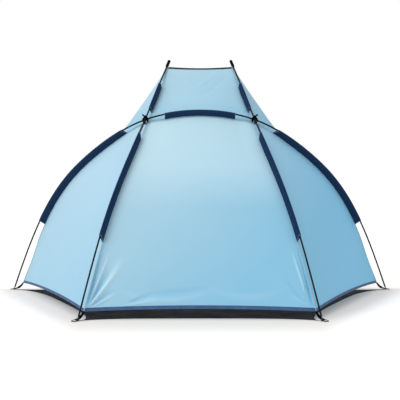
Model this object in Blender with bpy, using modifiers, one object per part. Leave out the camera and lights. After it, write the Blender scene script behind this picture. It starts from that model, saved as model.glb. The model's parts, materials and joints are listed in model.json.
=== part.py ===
"""Beach tent: a shell of light blue cloth on one hoop pole and two bowed side poles.

The tent stands on z = 0. Its closed back faces -Y and its open front faces +Y. Left (-X)
and right (+X) are as seen from behind. Lengths are in metres, angles in radians.
"""

import math

import bmesh
import bpy
import numpy as np
from mathutils import Matrix, Vector

# Driving dimensions of the pitched tent
FRONT_HALF_WIDTH = 1.066  # the hoop's feet, from the middle
REAR_HALF_WIDTH = 0.572  # the side poles' feet, from the middle
DEPTH = 1.20  # from the rear feet to the front feet
HOOP_HEIGHT = 1.005
HOOP_LEAN = math.radians(29.2)  # the hoop leans back from its feet
CROSSING_HALF_WIDTH = 0.280  # where a side pole crosses the hoop
TIP_HALF_WIDTH = 0.172  # the free upper ends of the side poles
TIP_HEIGHT = 1.286
TIP_BEHIND_FRONT = 0.200  # from the tips back to the line of the front feet

# The hoop's bow: shares of its half width and its height, from a foot to the crown
HOOP_BOW_SHARES = (
    (1.0, 0.0), (0.9355, 0.165), (0.8433, 0.377), (0.6773, 0.647),
    (0.514, 0.806), (0.2755, 0.952), (0.0, 1.0),
)
# A side pole's bow: shares of the way across, forward and up, to the crossing, then to the tip
LOWER_BOW_SHARES = (
    (0.2011, 0.170, 0.261), (0.4291, 0.395, 0.522), (0.7278, 0.690, 0.784),
)
UPPER_BOW_SHARES = ((0.5526, 0.549, 0.563),)
CORE_HEIGHT = 0.15
CORE = Vector((0.0, DEPTH / 2, CORE_HEIGHT))  # the cloth pulls every pole this way

# Poles: fibreglass tubes end to end in steel ferrules, with an elastic cord through them
POLE_RADIUS = 0.00425
POLE_BORE_RADIUS = 0.00285
HOOP_SECTIONS = 6
SIDE_SECTIONS = 3
SECTION_GAP = 0.0005  # between the end faces of two sections, inside the ferrule
FERRULE_RADIUS = 0.0054
FERRULE_BORE_RADIUS = 0.0046
FERRULE_REACH = 0.035  # on each side of the joint
SHOCK_CORD_RADIUS = 0.00125
SHOCK_CORD_END_GAP = 0.0003  # from the pin in a foot
POLE_CROSSING_GAP = 0.0006
LOWER_STEPS = 12  # straight steps that follow each bow from a cloth corner to the crossing
UPPER_STEPS = 5  # and from the crossing to a tip
CROWN_STEPS = 8  # and between the two crossings

# Feet: a steel pin in the pole's bore, its eye on the bar of a D-ring, and a webbing loop
PIN_RADIUS = 0.00225
PIN_DEPTH = 0.036  # in the pole
PIN_EYE_WIRE = 0.00175
PIN_EYE_RADIUS = 0.00525  # to the middle of the wire
POLE_FOOT_CLEARANCE = 0.014  # from the middle of the eye to the pole's end
RING_WIRE = 0.00175
RING_HALF_WIDTH = 0.0150
RING_LEG = 0.0140
RING_CORNER = 0.0030
WIRE_CLEARANCE = 0.0004
EYE_OFFSET = 0.0065  # along the bar, from its middle
STRAP_OFFSET = 0.0055  # along the bar, the other way
STRAP_WIDTH = 0.012
WEBBING = 0.0010

# Tip caps and the webbing loops that hold the cloth's front corners
CAP_RADIUS = 0.0085
CAP_BORE_RADIUS = 0.0049
CAP_LENGTH = 0.048
CAP_DEPTH = 0.036
CAP_RIM = 0.001  # the bevel round its open end
CAP_DOME = 0.006  # from the cap's top to where its wall runs straight
CAP_DOME_SHARES = ((0.0, 0.0), (0.62, 0.16), (0.92, 0.50), (1.0, 1.0))  # out, down
LOOP_RADIUS = 0.0068
LOOP_BORE_RADIUS = 0.0049
LOOP_WIDTH = 0.010

# Cloth
CLOTH = 0.0008
CLOTH_EDGE_INSET = 0.0005  # of each panel from its seam
CLOTH_POINT_INSET = 0.0025  # of a panel's sharp corner from the seams' meeting point
REAR_CORNER_DISTANCE = 0.053  # of a cloth corner from the pole's foot, along the pole
FRONT_CORNER_DISTANCE = 0.056
HOOP_SEAM_DROP = 0.034  # of the seams from the poles, along the sleeves
SIDE_SEAM_DROP = 0.039
HOOP_FOOT_DROP = 0.038  # at the cloth's corners
SIDE_FOOT_DROP = 0.035
HOOP_BARE_DROP = 0.042  # of the free edge between a front corner and the sleeve
CROSSING_SEAM_DROP = 0.020
UPPER_SEAM_DROP = 0.034
SEAM_EASE_SHARES = (0.3, 0.8)  # of the way to the crossing: where the drop stays the same
BARE_SHARE = 0.12  # of that way: where the free edge lies farthest from the hoop
HEM_RISE = 0.0115
SIDE_HEM_RISE = 0.018
HEM_INSET = 0.010  # the rear hem bows inwards by this much
ROOF_EDGE_SAG = 0.007
CLOTH_GAP = 0.0005  # between a panel's face and what is sewn on it

# Sleeves: flat tubes of cloth round the poles, sewn along the seams
SLEEVE_RADIUS = 0.0063
SLEEVE_LIFT = 0.0009  # of its two edges over the seam
SLEEVE_EDGE_HALF_GAP = 0.00065
HOOP_SIDE_SLEEVE_SHARES = (0.346, 0.902)  # of the hoop's length from a foot to the crossing
HOOP_CROWN_SLEEVE_SHARE = 0.656  # of the hoop's length between the crossings
LOWER_SLEEVE_SHARES = (0.346, 0.908)  # of a side pole's length from its foot to the crossing
UPPER_SLEEVE_SHARES = (0.150, 0.585)  # of a side pole's length from the crossing to its end

# Edge binding: a tape folded over the cloth's free edges
BINDING = 0.0006
REAR_BINDING_DEPTH = 0.016
SIDE_BINDING_DEPTH = 0.012
ROOF_BINDING_DEPTH = 0.008
BINDING_CLEARANCE = 0.0001  # more than the cloth gap, for the bends
BINDING_END_INSET = 0.012

# Groundsheet
FLOOR_THICKNESS = 0.002
FLOOR_TONGUE_HALF_WIDTH = 0.005
FLOOR_TONGUE_SETBACK = 0.001  # of its tip from under the ring's bar
FLOOR_REAR_INSET_SHARE = 0.073  # of the edge's length, and the same for the other edges
FLOOR_SIDE_INSET_SHARE = 0.085
FLOOR_FRONT_INSET_SHARE = 0.024
FLOOR_EDGE_EASE_SHARE = 0.35
FLOOR_EDGE_STEPS = 10

# Tapes tied round the poles where they cross
TIE_WIDTH = 0.012
TIE_THICKNESS = 0.0012
TIE_HALF_WIDTH = 0.0105
TIE_CORNER_SHARE = 0.5
TIE_CLEARANCE = 0.0010
KNOT_RADII = (0.0095, 0.0085, 0.0055)
TIE_END_LENGTH = 0.040
TIE_END_WIDTH = 0.008
TIE_END_STEPS = 4
TIE_END_BEND_SHARE = 0.3
TIE_END_TURNS = ((math.radians(28), 1), (math.radians(12), -1))
STEM_CLEARANCE = 0.0003  # from the wrapped tape

OVERRUN = 0.004  # of every cutter past what it cuts
WELD = 0.000001
TANGENT_SHARE = 0.4  # of the shortest step, to each side of a place
TUBE_RESOLUTION = 2
TURN_STEPS = 16
SLEEVE_ARC_POINTS = 8
STRAP_ARC_POINTS = 7
SHARP_ANGLE = math.radians(35)

FIBREGLASS = ("fibreglass", (0.10, 0.105, 0.11), 0.42, 0.0)
STEEL = ("steel", (0.45, 0.46, 0.47), 0.32, 1.0)
BLACK_PLASTIC = ("black_plastic", (0.015, 0.015, 0.017), 0.45, 0.0)
ELASTIC = ("elastic", (0.02, 0.02, 0.022), 0.85, 0.0)
BLACK_WEBBING = ("black_webbing", (0.012, 0.012, 0.014), 0.85, 0.0)
SKY_CLOTH = ("sky_cloth", (0.40, 0.68, 0.83), 0.72, 0.0)
NAVY_CLOTH = ("navy_cloth", (0.022, 0.045, 0.13), 0.80, 0.0)
BLUE_BINDING = ("blue_binding", (0.06, 0.12, 0.36), 0.75, 0.0)
GROUND_CLOTH = ("ground_cloth", (0.018, 0.018, 0.020), 0.60, 0.0)

MIRROR_X = Matrix.Scale(-1, 4, (1, 0, 0))


# Curves

def natural_cubic(knots, steps):
    """Points on the natural cubic spline through the knots, which is how a bent pole lies."""
    knots = np.array(knots, float)
    at = np.concatenate([[0], np.cumsum(np.linalg.norm(np.diff(knots, axis=0), axis=1))])
    gap = np.diff(at)
    count = len(knots)
    system = np.eye(count)
    right = np.zeros_like(knots)
    for i in range(1, count - 1):
        system[i, i - 1 : i + 2] = gap[i - 1], 2 * (gap[i - 1] + gap[i]), gap[i]
        rise = (knots[i + 1] - knots[i]) / gap[i] - (knots[i] - knots[i - 1]) / gap[i - 1]
        right[i] = 6 * rise
    bend = np.linalg.solve(system, right)
    where = np.linspace(0, at[-1], steps + 1)
    span = np.clip(np.searchsorted(at, where, side="right") - 1, 0, count - 2)
    width = gap[span][:, None]
    before = ((at[span + 1] - where)[:, None]) / width
    after = 1 - before
    cubic = (before**3 - before) * bend[span] + (after**3 - after) * bend[span + 1]
    return before * knots[span] + after * knots[span + 1] + cubic * width**2 / 6


def arc_lengths(points):
    steps = np.linalg.norm(np.diff(points, axis=0), axis=1)
    return np.concatenate([[0], np.cumsum(steps)])


def unit(vector):
    return vector / np.linalg.norm(vector)


class Line:
    """A line of straight steps through stations. Everything on a pole follows its Line."""

    def __init__(self, points, at=None):
        self.points = np.array(points, float)
        self.at = arc_lengths(self.points) if at is None else np.array(at, float)
        self.length = self.at[-1]

    def point(self, distance):
        return np.array([np.interp(distance, self.at, self.points[:, k]) for k in range(3)])

    def tangent(self, distance):
        """The direction at a station is the mean of its two steps' directions."""
        near = TANGENT_SHARE * np.diff(self.at).min()
        return unit(self.point(min(distance + near, self.at[-1]))
                    - self.point(max(distance - near, self.at[0])))

    def distances(self, start, end):
        inside = self.at[(self.at > start + SECTION_GAP) & (self.at < end - SECTION_GAP)]
        return np.concatenate([[start], inside, [end]])

    def path(self, start, end):
        return np.array([self.point(d) for d in self.distances(start, end)])


def stations(dense, breaks, steps):
    """Points on a dense curve: the distances in breaks, with equal steps between them."""
    at = arc_lengths(dense)
    wanted = [np.linspace(a, b, n + 1)[:-1] for a, b, n in zip(breaks, breaks[1:], steps)]
    wanted = np.concatenate([*wanted, [breaks[-1]]])
    return np.array([[np.interp(d, at, dense[:, k]) for k in range(3)] for d in wanted])


def ease(share):
    return share * share * (3 - 2 * share)


def eased(distance, knots):
    """A value that runs smoothly through (distance, value) knots."""
    for (start, low), (end, high) in zip(knots, knots[1:]):
        if distance <= end:
            return low + (high - low) * ease(max(0.0, (distance - start) / (end - start)))
    return knots[-1][1]


def inward(line, distance):
    """The way the cloth pulls a pole: towards the core, square to the pole."""
    tangent = line.tangent(distance)
    pull = np.array(CORE) - line.point(distance)
    return unit(pull - tangent * (pull @ tangent))


# The poles' lines

EYE_HEIGHT = PIN_EYE_RADIUS + PIN_EYE_WIRE
DENSE_STEPS = 1600
CROSSING_ROUNDS = 4  # each makes the short way between the two poles squarer to both


def hoop_curve():
    """The hoop's bow, in its own leaning plane, from the left foot to the right foot."""
    half = []
    for across, up in HOOP_BOW_SHARES:
        z = EYE_HEIGHT + up * (HOOP_HEIGHT - EYE_HEIGHT)
        y = DEPTH / 2 - (z - EYE_HEIGHT) * math.tan(HOOP_LEAN)
        half.append((-across * FRONT_HALF_WIDTH, y, z))
    other = [(-x, y, z) for x, y, z in reversed(half[:-1])]
    return natural_cubic(half + other, DENSE_STEPS)


HOOP_CURVE = hoop_curve()
HOOP_CURVE_AT = arc_lengths(HOOP_CURVE)
HOOP_LENGTH = HOOP_CURVE_AT[-1]
HOOP_CROSSING = float(np.interp(-CROSSING_HALF_WIDTH, HOOP_CURVE[:, 0], HOOP_CURVE_AT))
HOOP = Line(stations(
    HOOP_CURVE,
    (0, FRONT_CORNER_DISTANCE, HOOP_CROSSING, HOOP_LENGTH - HOOP_CROSSING,
     HOOP_LENGTH - FRONT_CORNER_DISTANCE, HOOP_LENGTH),
    (1, LOWER_STEPS, CROWN_STEPS, LOWER_STEPS, 1),
))
HOOP_CORNER_AT = HOOP.at[1]
HOOP_CROSSING_AT = HOOP.at[1 + LOWER_STEPS]


def side_curve():
    """The left side pole's bow, which passes over the hoop, and its distance at the crossing."""
    foot = np.array((-REAR_HALF_WIDTH, -DEPTH / 2, EYE_HEIGHT))
    tip = np.array((-TIP_HALF_WIDTH, DEPTH / 2 - TIP_BEHIND_FRONT, TIP_HEIGHT))
    hoop_point = HOOP.point(HOOP_CROSSING_AT)
    way = tip - foot
    for _ in range(CROSSING_ROUNDS):
        outward = unit(np.cross(way, HOOP.tangent(HOOP_CROSSING_AT)))
        if outward @ (np.array(CORE) - hoop_point) > 0:
            outward = -outward
        crossing = hoop_point + outward * (2 * POLE_RADIUS + POLE_CROSSING_GAP)
        lower = [foot + np.array(share) * (crossing - foot) for share in LOWER_BOW_SHARES]
        upper = [crossing + np.array(share) * (tip - crossing) for share in UPPER_BOW_SHARES]
        curve = natural_cubic([foot, *lower, crossing, *upper, tip], DENSE_STEPS)
        nearest = int(np.argmin(np.linalg.norm(curve - crossing, axis=1)))
        way = curve[nearest + 1] - curve[nearest - 1]
    return curve, float(arc_lengths(curve)[nearest])


SIDE_CURVE, SIDE_CROSSING = side_curve()
SIDE_LENGTH = float(arc_lengths(SIDE_CURVE)[-1])
TIP_CORNER = SIDE_LENGTH - CAP_DEPTH - POLE_CROSSING_GAP - LOOP_WIDTH / 2
SIDE = Line(stations(
    SIDE_CURVE,
    (0, REAR_CORNER_DISTANCE, SIDE_CROSSING, TIP_CORNER, SIDE_LENGTH),
    (1, LOWER_STEPS, UPPER_STEPS, 1),
))
SIDE_CORNER_AT = SIDE.at[1]
SIDE_CROSSING_AT = SIDE.at[1 + LOWER_STEPS]
TIP_CORNER_AT = SIDE.at[-2]


# The seams' lines, at the same distances as the poles' stations

def hoop_seam():
    middle = HOOP.length / 2
    reach = HOOP_CROSSING_AT - HOOP_CORNER_AT
    knots = [
        (HOOP_CORNER_AT, HOOP_FOOT_DROP),
        (HOOP_CORNER_AT + BARE_SHARE * reach, HOOP_BARE_DROP),
        (HOOP_CORNER_AT + SEAM_EASE_SHARES[0] * reach, HOOP_SEAM_DROP),
        (HOOP_CORNER_AT + SEAM_EASE_SHARES[1] * reach, HOOP_SEAM_DROP),
        (HOOP_CROSSING_AT, CROSSING_SEAM_DROP),
        (middle, HOOP_SEAM_DROP),
    ]
    at = [d for d in HOOP.at if HOOP_CORNER_AT - WELD < d < HOOP.length - HOOP_CORNER_AT + WELD]
    points = []
    for distance in at:
        drop = eased(min(distance, HOOP.length - distance), knots)
        points.append(HOOP.point(distance) + inward(HOOP, distance) * drop)
    return Line(points, at)


def side_seam(meeting_point):
    reach = SIDE_CROSSING_AT - SIDE_CORNER_AT
    over_hoop = 2 * POLE_RADIUS + POLE_CROSSING_GAP
    knots = [
        (SIDE_CORNER_AT, SIDE_FOOT_DROP),
        (SIDE_CORNER_AT + SEAM_EASE_SHARES[0] * reach, SIDE_SEAM_DROP),
        (SIDE_CORNER_AT + SEAM_EASE_SHARES[1] * reach, SIDE_SEAM_DROP),
        (SIDE_CROSSING_AT, CROSSING_SEAM_DROP + over_hoop),
        ((SIDE_CROSSING_AT + TIP_CORNER_AT) / 2, UPPER_SEAM_DROP),
        (TIP_CORNER_AT, LOOP_RADIUS + CLOTH_GAP),
    ]
    at = [d for d in SIDE.at if SIDE_CORNER_AT - WELD < d < TIP_CORNER_AT + WELD]
    points = [SIDE.point(d) + inward(SIDE, d) * eased(d, knots) for d in at]
    points[LOWER_STEPS] = meeting_point
    return Line(points, at)


HOOP_SEAM = hoop_seam()
MEETING = HOOP_SEAM.points[LOWER_STEPS]
SIDE_SEAM = side_seam(MEETING)
REAR_CORNER = SIDE_SEAM.points[0]
FRONT_CORNER = HOOP_SEAM.points[0]
ROOF_CORNER = SIDE_SEAM.points[-1]


# Objects

def material(spec):
    name, colour, roughness, metallic = spec
    found = bpy.data.materials.get(name)
    if found:
        return found
    made = bpy.data.materials.new(name)
    made.use_nodes = True
    shader = made.node_tree.nodes["Principled BSDF"]
    shader.inputs["Base Color"].default_value = (*colour, 1)
    shader.inputs["Roughness"].default_value = roughness
    shader.inputs["Metallic"].default_value = metallic
    return made


def start_scene():
    for obj in list(bpy.data.objects):
        bpy.data.objects.remove(obj)
    collections = {}
    for name in ("beach_tent", "cutters"):
        collections[name] = bpy.data.collections.new(name)
        bpy.context.scene.collection.children.link(collections[name])
    return collections["beach_tent"], collections["cutters"]


TENT, CUTTERS = start_scene()


def add_object(name, mesh, spec, collection=TENT):
    obj = bpy.data.objects.new(name, mesh)
    obj.data.materials.clear()
    obj.data.materials.append(material(spec))
    collection.objects.link(obj)
    return obj


def sharp_shading(obj):
    obj.data.shade_smooth()
    obj.data.set_sharp_from_angle(angle=SHARP_ANGLE)
    return obj


def evaluated_mesh(obj):
    """The object's mesh with its modifiers, its loose caps welded."""
    bpy.context.view_layer.update()
    graph = bpy.context.evaluated_depsgraph_get()
    mesh = bpy.data.meshes.new_from_object(obj.evaluated_get(graph))
    work = bmesh.new()
    work.from_mesh(mesh)
    bmesh.ops.remove_doubles(work, verts=work.verts, dist=WELD)
    work.to_mesh(mesh)
    work.free()
    return mesh


def tube_curve(name, points, radii, spec, cyclic=False):
    """A round tube along points, of one radius or one for each point."""
    curve = bpy.data.curves.new(name, "CURVE")
    curve.dimensions = "3D"
    curve.bevel_resolution = TUBE_RESOLUTION
    curve.use_fill_caps = not cyclic
    radii = np.broadcast_to(radii, len(points))
    curve.bevel_depth = float(radii[0])
    spline = curve.splines.new("POLY")
    spline.points.add(len(points) - 1)
    spline.use_cyclic_u = cyclic
    for knot, point, radius in zip(spline.points, points, radii):
        knot.co = (*point, 1)
        knot.radius = float(radius / radii[0])
    return add_object(name, curve, spec)


def tube(name, points, radii, spec, cyclic=False):
    """The same tube as a mesh, for a Boolean."""
    curve = tube_curve(name + "_curve", points, radii, spec, cyclic)
    mesh = evaluated_mesh(curve)
    mesh.transform(curve.matrix_world)
    bpy.data.objects.remove(curve)
    return sharp_shading(add_object(name, mesh, spec))


def combine(obj, other, operation):
    """Joins another solid to obj, or cuts it away. The other object is used up."""
    modifier = obj.modifiers.new(operation.lower(), "BOOLEAN")
    modifier.operation = operation
    modifier.object = other
    mesh = evaluated_mesh(obj)
    obj.modifiers.remove(modifier)
    obj.data = mesh
    bpy.data.objects.remove(other)
    return sharp_shading(obj)


def cutter(obj):
    """Marks a solid as one that only cuts."""
    TENT.objects.unlink(obj)
    CUTTERS.objects.link(obj)
    obj.hide_render = True
    obj.display_type = "WIRE"
    return obj


def sheet(name, rows, spec, thickness):
    """A skin through a grid of points, given an even wall on both sides of it."""
    rows = np.array(rows, float)
    down, along = rows.shape[:2]
    work = bmesh.new()
    verts = [[work.verts.new(point) for point in row] for row in rows]
    for i in range(down - 1):
        for j in range(along - 1):
            work.faces.new((verts[i][j], verts[i][j + 1], verts[i + 1][j + 1], verts[i + 1][j]))
    bmesh.ops.remove_doubles(work, verts=work.verts, dist=WELD)
    bmesh.ops.recalc_face_normals(work, faces=work.faces)
    mesh = bpy.data.meshes.new(name)
    work.to_mesh(mesh)
    work.free()
    mesh.shade_smooth()
    obj = add_object(name, mesh, spec)
    wall = obj.modifiers.new("wall", "SOLIDIFY")
    wall.thickness = thickness
    wall.offset = 0
    wall.use_even_offset = True
    return obj


def turned(name, profile, spec):
    """A round piece about its own Z axis from an outline of (radius, height)."""
    mesh = bpy.data.meshes.new(name)
    points = [(radius, 0, height) for radius, height in profile]
    edges = [(i, i + 1) for i in range(len(points) - 1)]
    mesh.from_pydata(points, edges, [])
    obj = add_object(name, mesh, spec)
    screw = obj.modifiers.new("turn", "SCREW")
    screw.steps = TURN_STEPS
    screw.render_steps = TURN_STEPS
    screw.use_merge_vertices = True
    screw.merge_threshold = WELD
    screw.use_normal_calculate = True
    screw.use_smooth_shade = True
    return obj


def place(obj, origin, up, side=None):
    """Puts obj's origin at a point, its Z along up and its X towards side."""
    up = Vector(up).normalized()
    side = Vector(side) if side is not None else up.orthogonal()
    x = (side - up * side.dot(up)).normalized()
    matrix = Matrix((x, up.cross(x), up)).transposed().to_4x4()
    matrix.translation = Vector(origin)
    obj.matrix_world = matrix
    return obj


def mirror_copy(obj, name):
    """The right-hand twin of a left-hand piece."""
    twin = obj.copy()
    twin.name = name
    TENT.objects.link(twin)
    bpy.context.view_layer.update()
    twin.matrix_world = MIRROR_X @ obj.matrix_world
    return twin


def add_twins(obj):
    mirror_copy(obj, obj.name.replace("left", "right"))


# Poles

def pole(line, name, count, lower_end, upper_end):
    """The tubes of one pole, and the ferrules that join them end to end."""
    joints = np.linspace(0, line.length, count + 1)
    for i in range(count):
        start = lower_end if i == 0 else joints[i] + SECTION_GAP / 2
        end = upper_end if i == count - 1 else joints[i + 1] - SECTION_GAP / 2
        number = i + 1
        hollow(f"{name}_section_{number}", line, start, end,
               POLE_RADIUS, POLE_BORE_RADIUS, FIBREGLASS)
        if i > 0:
            hollow(f"{name}_ferrule_{i}", line, joints[i] - FERRULE_REACH,
                   joints[i] + FERRULE_REACH, FERRULE_RADIUS, FERRULE_BORE_RADIUS, STEEL)


def hollow(name, line, start, end, radius, bore_radius, spec):
    """A tube along part of a pole's line, bored through."""
    piece = tube(name, line.path(start, end), radius, spec)
    bore = line.path(start, end)
    bore[0] -= OVERRUN * unit(bore[1] - bore[0])
    bore[-1] += OVERRUN * unit(bore[-1] - bore[-2])
    return combine(piece, cutter(tube("bore", bore, bore_radius, spec)), "DIFFERENCE")


def shock_cord(line, name, start, end):
    tube_curve(name, line.path(start, end), SHOCK_CORD_RADIUS, ELASTIC)


# Feet

def foot_frame(line, corner):
    """The axes at a foot. The ring's bar lies along one, and the webbing lies square to it."""
    eye = line.point(0)
    bar = eye - np.array((0, 0, PIN_EYE_RADIUS - PIN_EYE_WIRE - WIRE_CLEARANCE - RING_WIRE))
    to_corner = (corner - bar)[:2]
    turn = math.asin((EYE_OFFSET + STRAP_OFFSET) / np.linalg.norm(to_corner))
    bearing = math.atan2(to_corner[1], to_corner[0]) - turn
    inwards = np.array((math.cos(bearing), math.sin(bearing), 0))
    along = np.array((-inwards[1], inwards[0], 0))
    return eye, bar, inwards, along


def foot_pin(name, line, frame):
    """A wire pin: an eye round the ring's bar, and a shank up into the pole."""
    eye, _, inwards, along = frame
    bpy.ops.mesh.primitive_torus_add(
        major_radius=PIN_EYE_RADIUS, minor_radius=PIN_EYE_WIRE,
        major_segments=16, minor_segments=8)
    torus = bpy.context.object
    mesh = torus.data
    bpy.data.objects.remove(torus)
    pin = place(add_object(name, mesh, STEEL), eye, along, inwards)
    up = line.tangent(0)
    top = POLE_FOOT_CLEARANCE + PIN_DEPTH
    points = [eye + up * PIN_EYE_RADIUS, eye + up * top]
    combine(pin, tube("shank", points, PIN_RADIUS, STEEL), "UNION")
    return pin


def ring_outline():
    """The D-ring's centre line in its own plane: X along the bar, Y outwards."""
    quarter = [math.radians(a) for a in (0, 30, 60, 90)]
    corner = [(RING_HALF_WIDTH - RING_CORNER + RING_CORNER * math.sin(a),
               RING_CORNER - RING_CORNER * math.cos(a)) for a in quarter]
    bow = [(RING_HALF_WIDTH * math.cos(a), RING_LEG + RING_HALF_WIDTH * math.sin(a))
           for a in np.linspace(0, math.pi, 11)]
    return [*corner, *bow, *((-x, y) for x, y in reversed(corner))]


def foot_ring(name, frame):
    """A steel D-ring. Its origin is on its bar, and its bow leans down to the ground."""
    _, bar, inwards, along = frame
    middle = bar + along * EYE_OFFSET
    reach = RING_LEG + RING_HALF_WIDTH
    tilt = math.asin((middle[2] - RING_WIRE) / reach)
    outwards = -inwards * math.cos(tilt) - np.array((0, 0, math.sin(tilt)))
    points = [(x, y, 0) for x, y in ring_outline()]
    ring = tube(name, points, RING_WIRE, STEEL, cyclic=True)
    return place(ring, middle, np.cross(along, outwards), along)


def teardrop(reach, radius, lift, half_gap, arc_points):
    """A loop's section as (aside, up) points: from one sewn edge round a rod and back."""
    lean = math.asin(radius / reach)
    arc = np.linspace(-lean, math.pi + lean, arc_points)
    round_rod = [(radius * math.cos(a), reach + radius * math.sin(a)) for a in arc]
    return [(half_gap, lift), *round_rod, (-half_gap, lift)]


def foot_strap(name, frame, corner):
    """Webbing from the cloth's corner, round the ring's bar and back."""
    _, bar, _, along = frame
    rod = bar + along * (EYE_OFFSET + STRAP_OFFSET)
    down = rod - corner
    reach = float(np.linalg.norm(down))
    up = down / reach
    aside = np.cross(along, up)
    radius = RING_WIRE + WIRE_CLEARANCE + WEBBING / 2
    half_gap = WEBBING / 2 + CLOTH_GAP / 2
    section = teardrop(reach, radius, CLOTH_GAP + CLOTH, half_gap, STRAP_ARC_POINTS)
    rows = [[corner + up * h + aside * a + along * w for a, h in section]
            for w in (-STRAP_WIDTH / 2, STRAP_WIDTH / 2)]
    return sheet(name, rows, BLACK_WEBBING, WEBBING)


# Tips

def tip_cap(name):
    """A plastic cap pushed over a side pole's upper end."""
    dome = [(CAP_RADIUS * out, CAP_LENGTH - CAP_DOME * down) for out, down in CAP_DOME_SHARES]
    profile = [
        *dome, (CAP_RADIUS, CAP_RIM), (CAP_RADIUS - CAP_RIM, 0), (CAP_BORE_RADIUS, 0),
        (CAP_BORE_RADIUS, CAP_DEPTH + SECTION_GAP), (0, CAP_DEPTH + SECTION_GAP),
    ]
    cap = turned(name, profile, BLACK_PLASTIC)
    base = SIDE.length - CAP_DEPTH
    return place(cap, SIDE.point(base), SIDE.tangent(base + CAP_DEPTH / 2))


def tip_loop(name):
    """A webbing loop round a side pole, which the cloth's front corner is sewn to."""
    half = LOOP_WIDTH / 2
    profile = [(LOOP_RADIUS, half), (LOOP_RADIUS, -half), (LOOP_BORE_RADIUS, -half),
               (LOOP_BORE_RADIUS, half), (LOOP_RADIUS, half)]
    loop = turned(name, profile, BLACK_WEBBING)
    return place(loop, SIDE.point(TIP_CORNER_AT), SIDE.tangent(TIP_CORNER_AT))


# Cloth panels

def coons(left, right, bottom, top):
    """A patch blended from four edges. Left and right run upwards, bottom and top sideways."""
    rows, columns = len(left), len(bottom)
    v = np.linspace(0, 1, rows)[:, None, None]
    u = np.linspace(0, 1, columns)[None, :, None]
    sides = (1 - u) * left[:, None] + u * right[:, None]
    ends = (1 - v) * bottom[None] + v * top[None]
    corners = ((1 - u) * (1 - v) * bottom[0] + u * (1 - v) * bottom[-1]
               + (1 - u) * v * top[0] + u * v * top[-1])
    return sides + ends - corners


def pull_in(grid, left=0.0, right=0.0, bottom=0.0, top=0.0):
    """Moves the edges of a patch in from its seams."""
    grid = grid.copy()
    moves = ((np.s_[0, :], np.s_[1, :], bottom), (np.s_[-1, :], np.s_[-2, :], top),
             (np.s_[:, 0], np.s_[:, 1], left), (np.s_[:, -1], np.s_[:, -2], right))
    for edge, inner, inset in moves:
        way = grid[inner] - grid[edge]
        size = np.linalg.norm(way, axis=1, keepdims=True)
        grid[edge] = grid[edge] + way / np.maximum(size, WELD) * inset * (size > inset)
    return grid


def to_point(edge_row, point, inset):
    """The sharp corner that a panel's last row closes to."""
    return point + unit(edge_row.mean(axis=0) - point) * inset


def hemmed(grid, depth):
    """Adds a row beside a patch's first row, where the edge binding's leaves end."""
    way = grid[1] - grid[0]
    size = np.linalg.norm(way, axis=1, keepdims=True)
    row = grid[0] + way / size * (depth + BINDING)
    return np.insert(grid, 1, row, axis=0)


def bowed(start, end, steps, bow):
    """A line from start to end that bows out by a vector in its middle."""
    share = np.linspace(0, 1, steps + 1)[:, None]
    return start + (end - start) * share + 4 * share * (1 - share) * np.array(bow)


def mirrored(points):
    return points * np.array((-1, 1, 1))


def halved(points):
    """The same line with a point added in the middle of every step."""
    middles = (points[:-1] + points[1:]) / 2
    found = np.empty((len(points) + len(middles), 3))
    found[0::2] = points
    found[1::2] = middles
    return found


FOLD_REACH = 0.30  # of the folds from a lower corner of the rear wall
FOLD_HEM_START = 0.032  # over the hem, where the folds begin
FOLD_HEM_REACH = 0.08  # from there, where they grow to their full height
FOLD_HEIGHT = 0.006
FOLD_BEARINGS = (math.radians(36), math.radians(52), math.radians(67))
FOLD_HALF_ANGLE = math.radians(7)


def corner_folds(grid):
    """Creases that fan out of the rear wall's lower corners, where the straps pull."""
    normal = unit(np.cross(grid[0, -1] - grid[0, 0], grid[-1, 0] - grid[0, 0]))
    lift = np.zeros(grid.shape[:2])
    over_hem = grid[..., 2] - grid[0, :, 2] - FOLD_HEM_START
    clear = np.clip(over_hem / FOLD_HEM_REACH, 0, 1)
    for corner, across in ((grid[0, 0], 1), (grid[0, -1], -1)):
        away = grid - corner
        distance = np.linalg.norm(away, axis=2)
        bearing = np.arctan2(away[..., 2], across * away[..., 0])
        fade = np.clip(distance / FOLD_REACH, 0, 1)
        strength = FOLD_HEIGHT * 4 * fade * (1 - fade) * clear
        for middle in FOLD_BEARINGS:
            lift += strength * np.exp(-(((bearing - middle) / FOLD_HALF_ANGLE) ** 2))
    return grid - normal * np.where(normal[1] > 0, 1, -1) * lift[..., None]


def rear_wall_grid():
    left = halved(SIDE_SEAM.points[: LOWER_STEPS + 1])
    top = halved(HOOP_SEAM.points[LOWER_STEPS : LOWER_STEPS + CROWN_STEPS + 1])
    bow = (0, HEM_INSET, HEM_RISE)
    bottom = bowed(REAR_CORNER, mirrored(REAR_CORNER), 2 * CROWN_STEPS, bow)
    return corner_folds(coons(left, mirrored(left), bottom, top))


def side_wall_grid():
    front = HOOP_SEAM.points[: LOWER_STEPS + 1]
    rear = SIDE_SEAM.points[: LOWER_STEPS + 1]
    bottom = bowed(REAR_CORNER, FRONT_CORNER, CROWN_STEPS, (0, 0, SIDE_HEM_RISE))
    top = np.repeat(MEETING[None], CROWN_STEPS + 1, axis=0)
    return coons(rear, front, bottom, top)


def roof_grid():
    left = SIDE_SEAM.points[LOWER_STEPS:]
    bottom = HOOP_SEAM.points[LOWER_STEPS : LOWER_STEPS + CROWN_STEPS + 1]
    top = bowed(ROOF_CORNER, mirrored(ROOF_CORNER), CROWN_STEPS, (0, 0, -ROOF_EDGE_SAG))
    return coons(left, mirrored(left), bottom, top)


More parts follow.
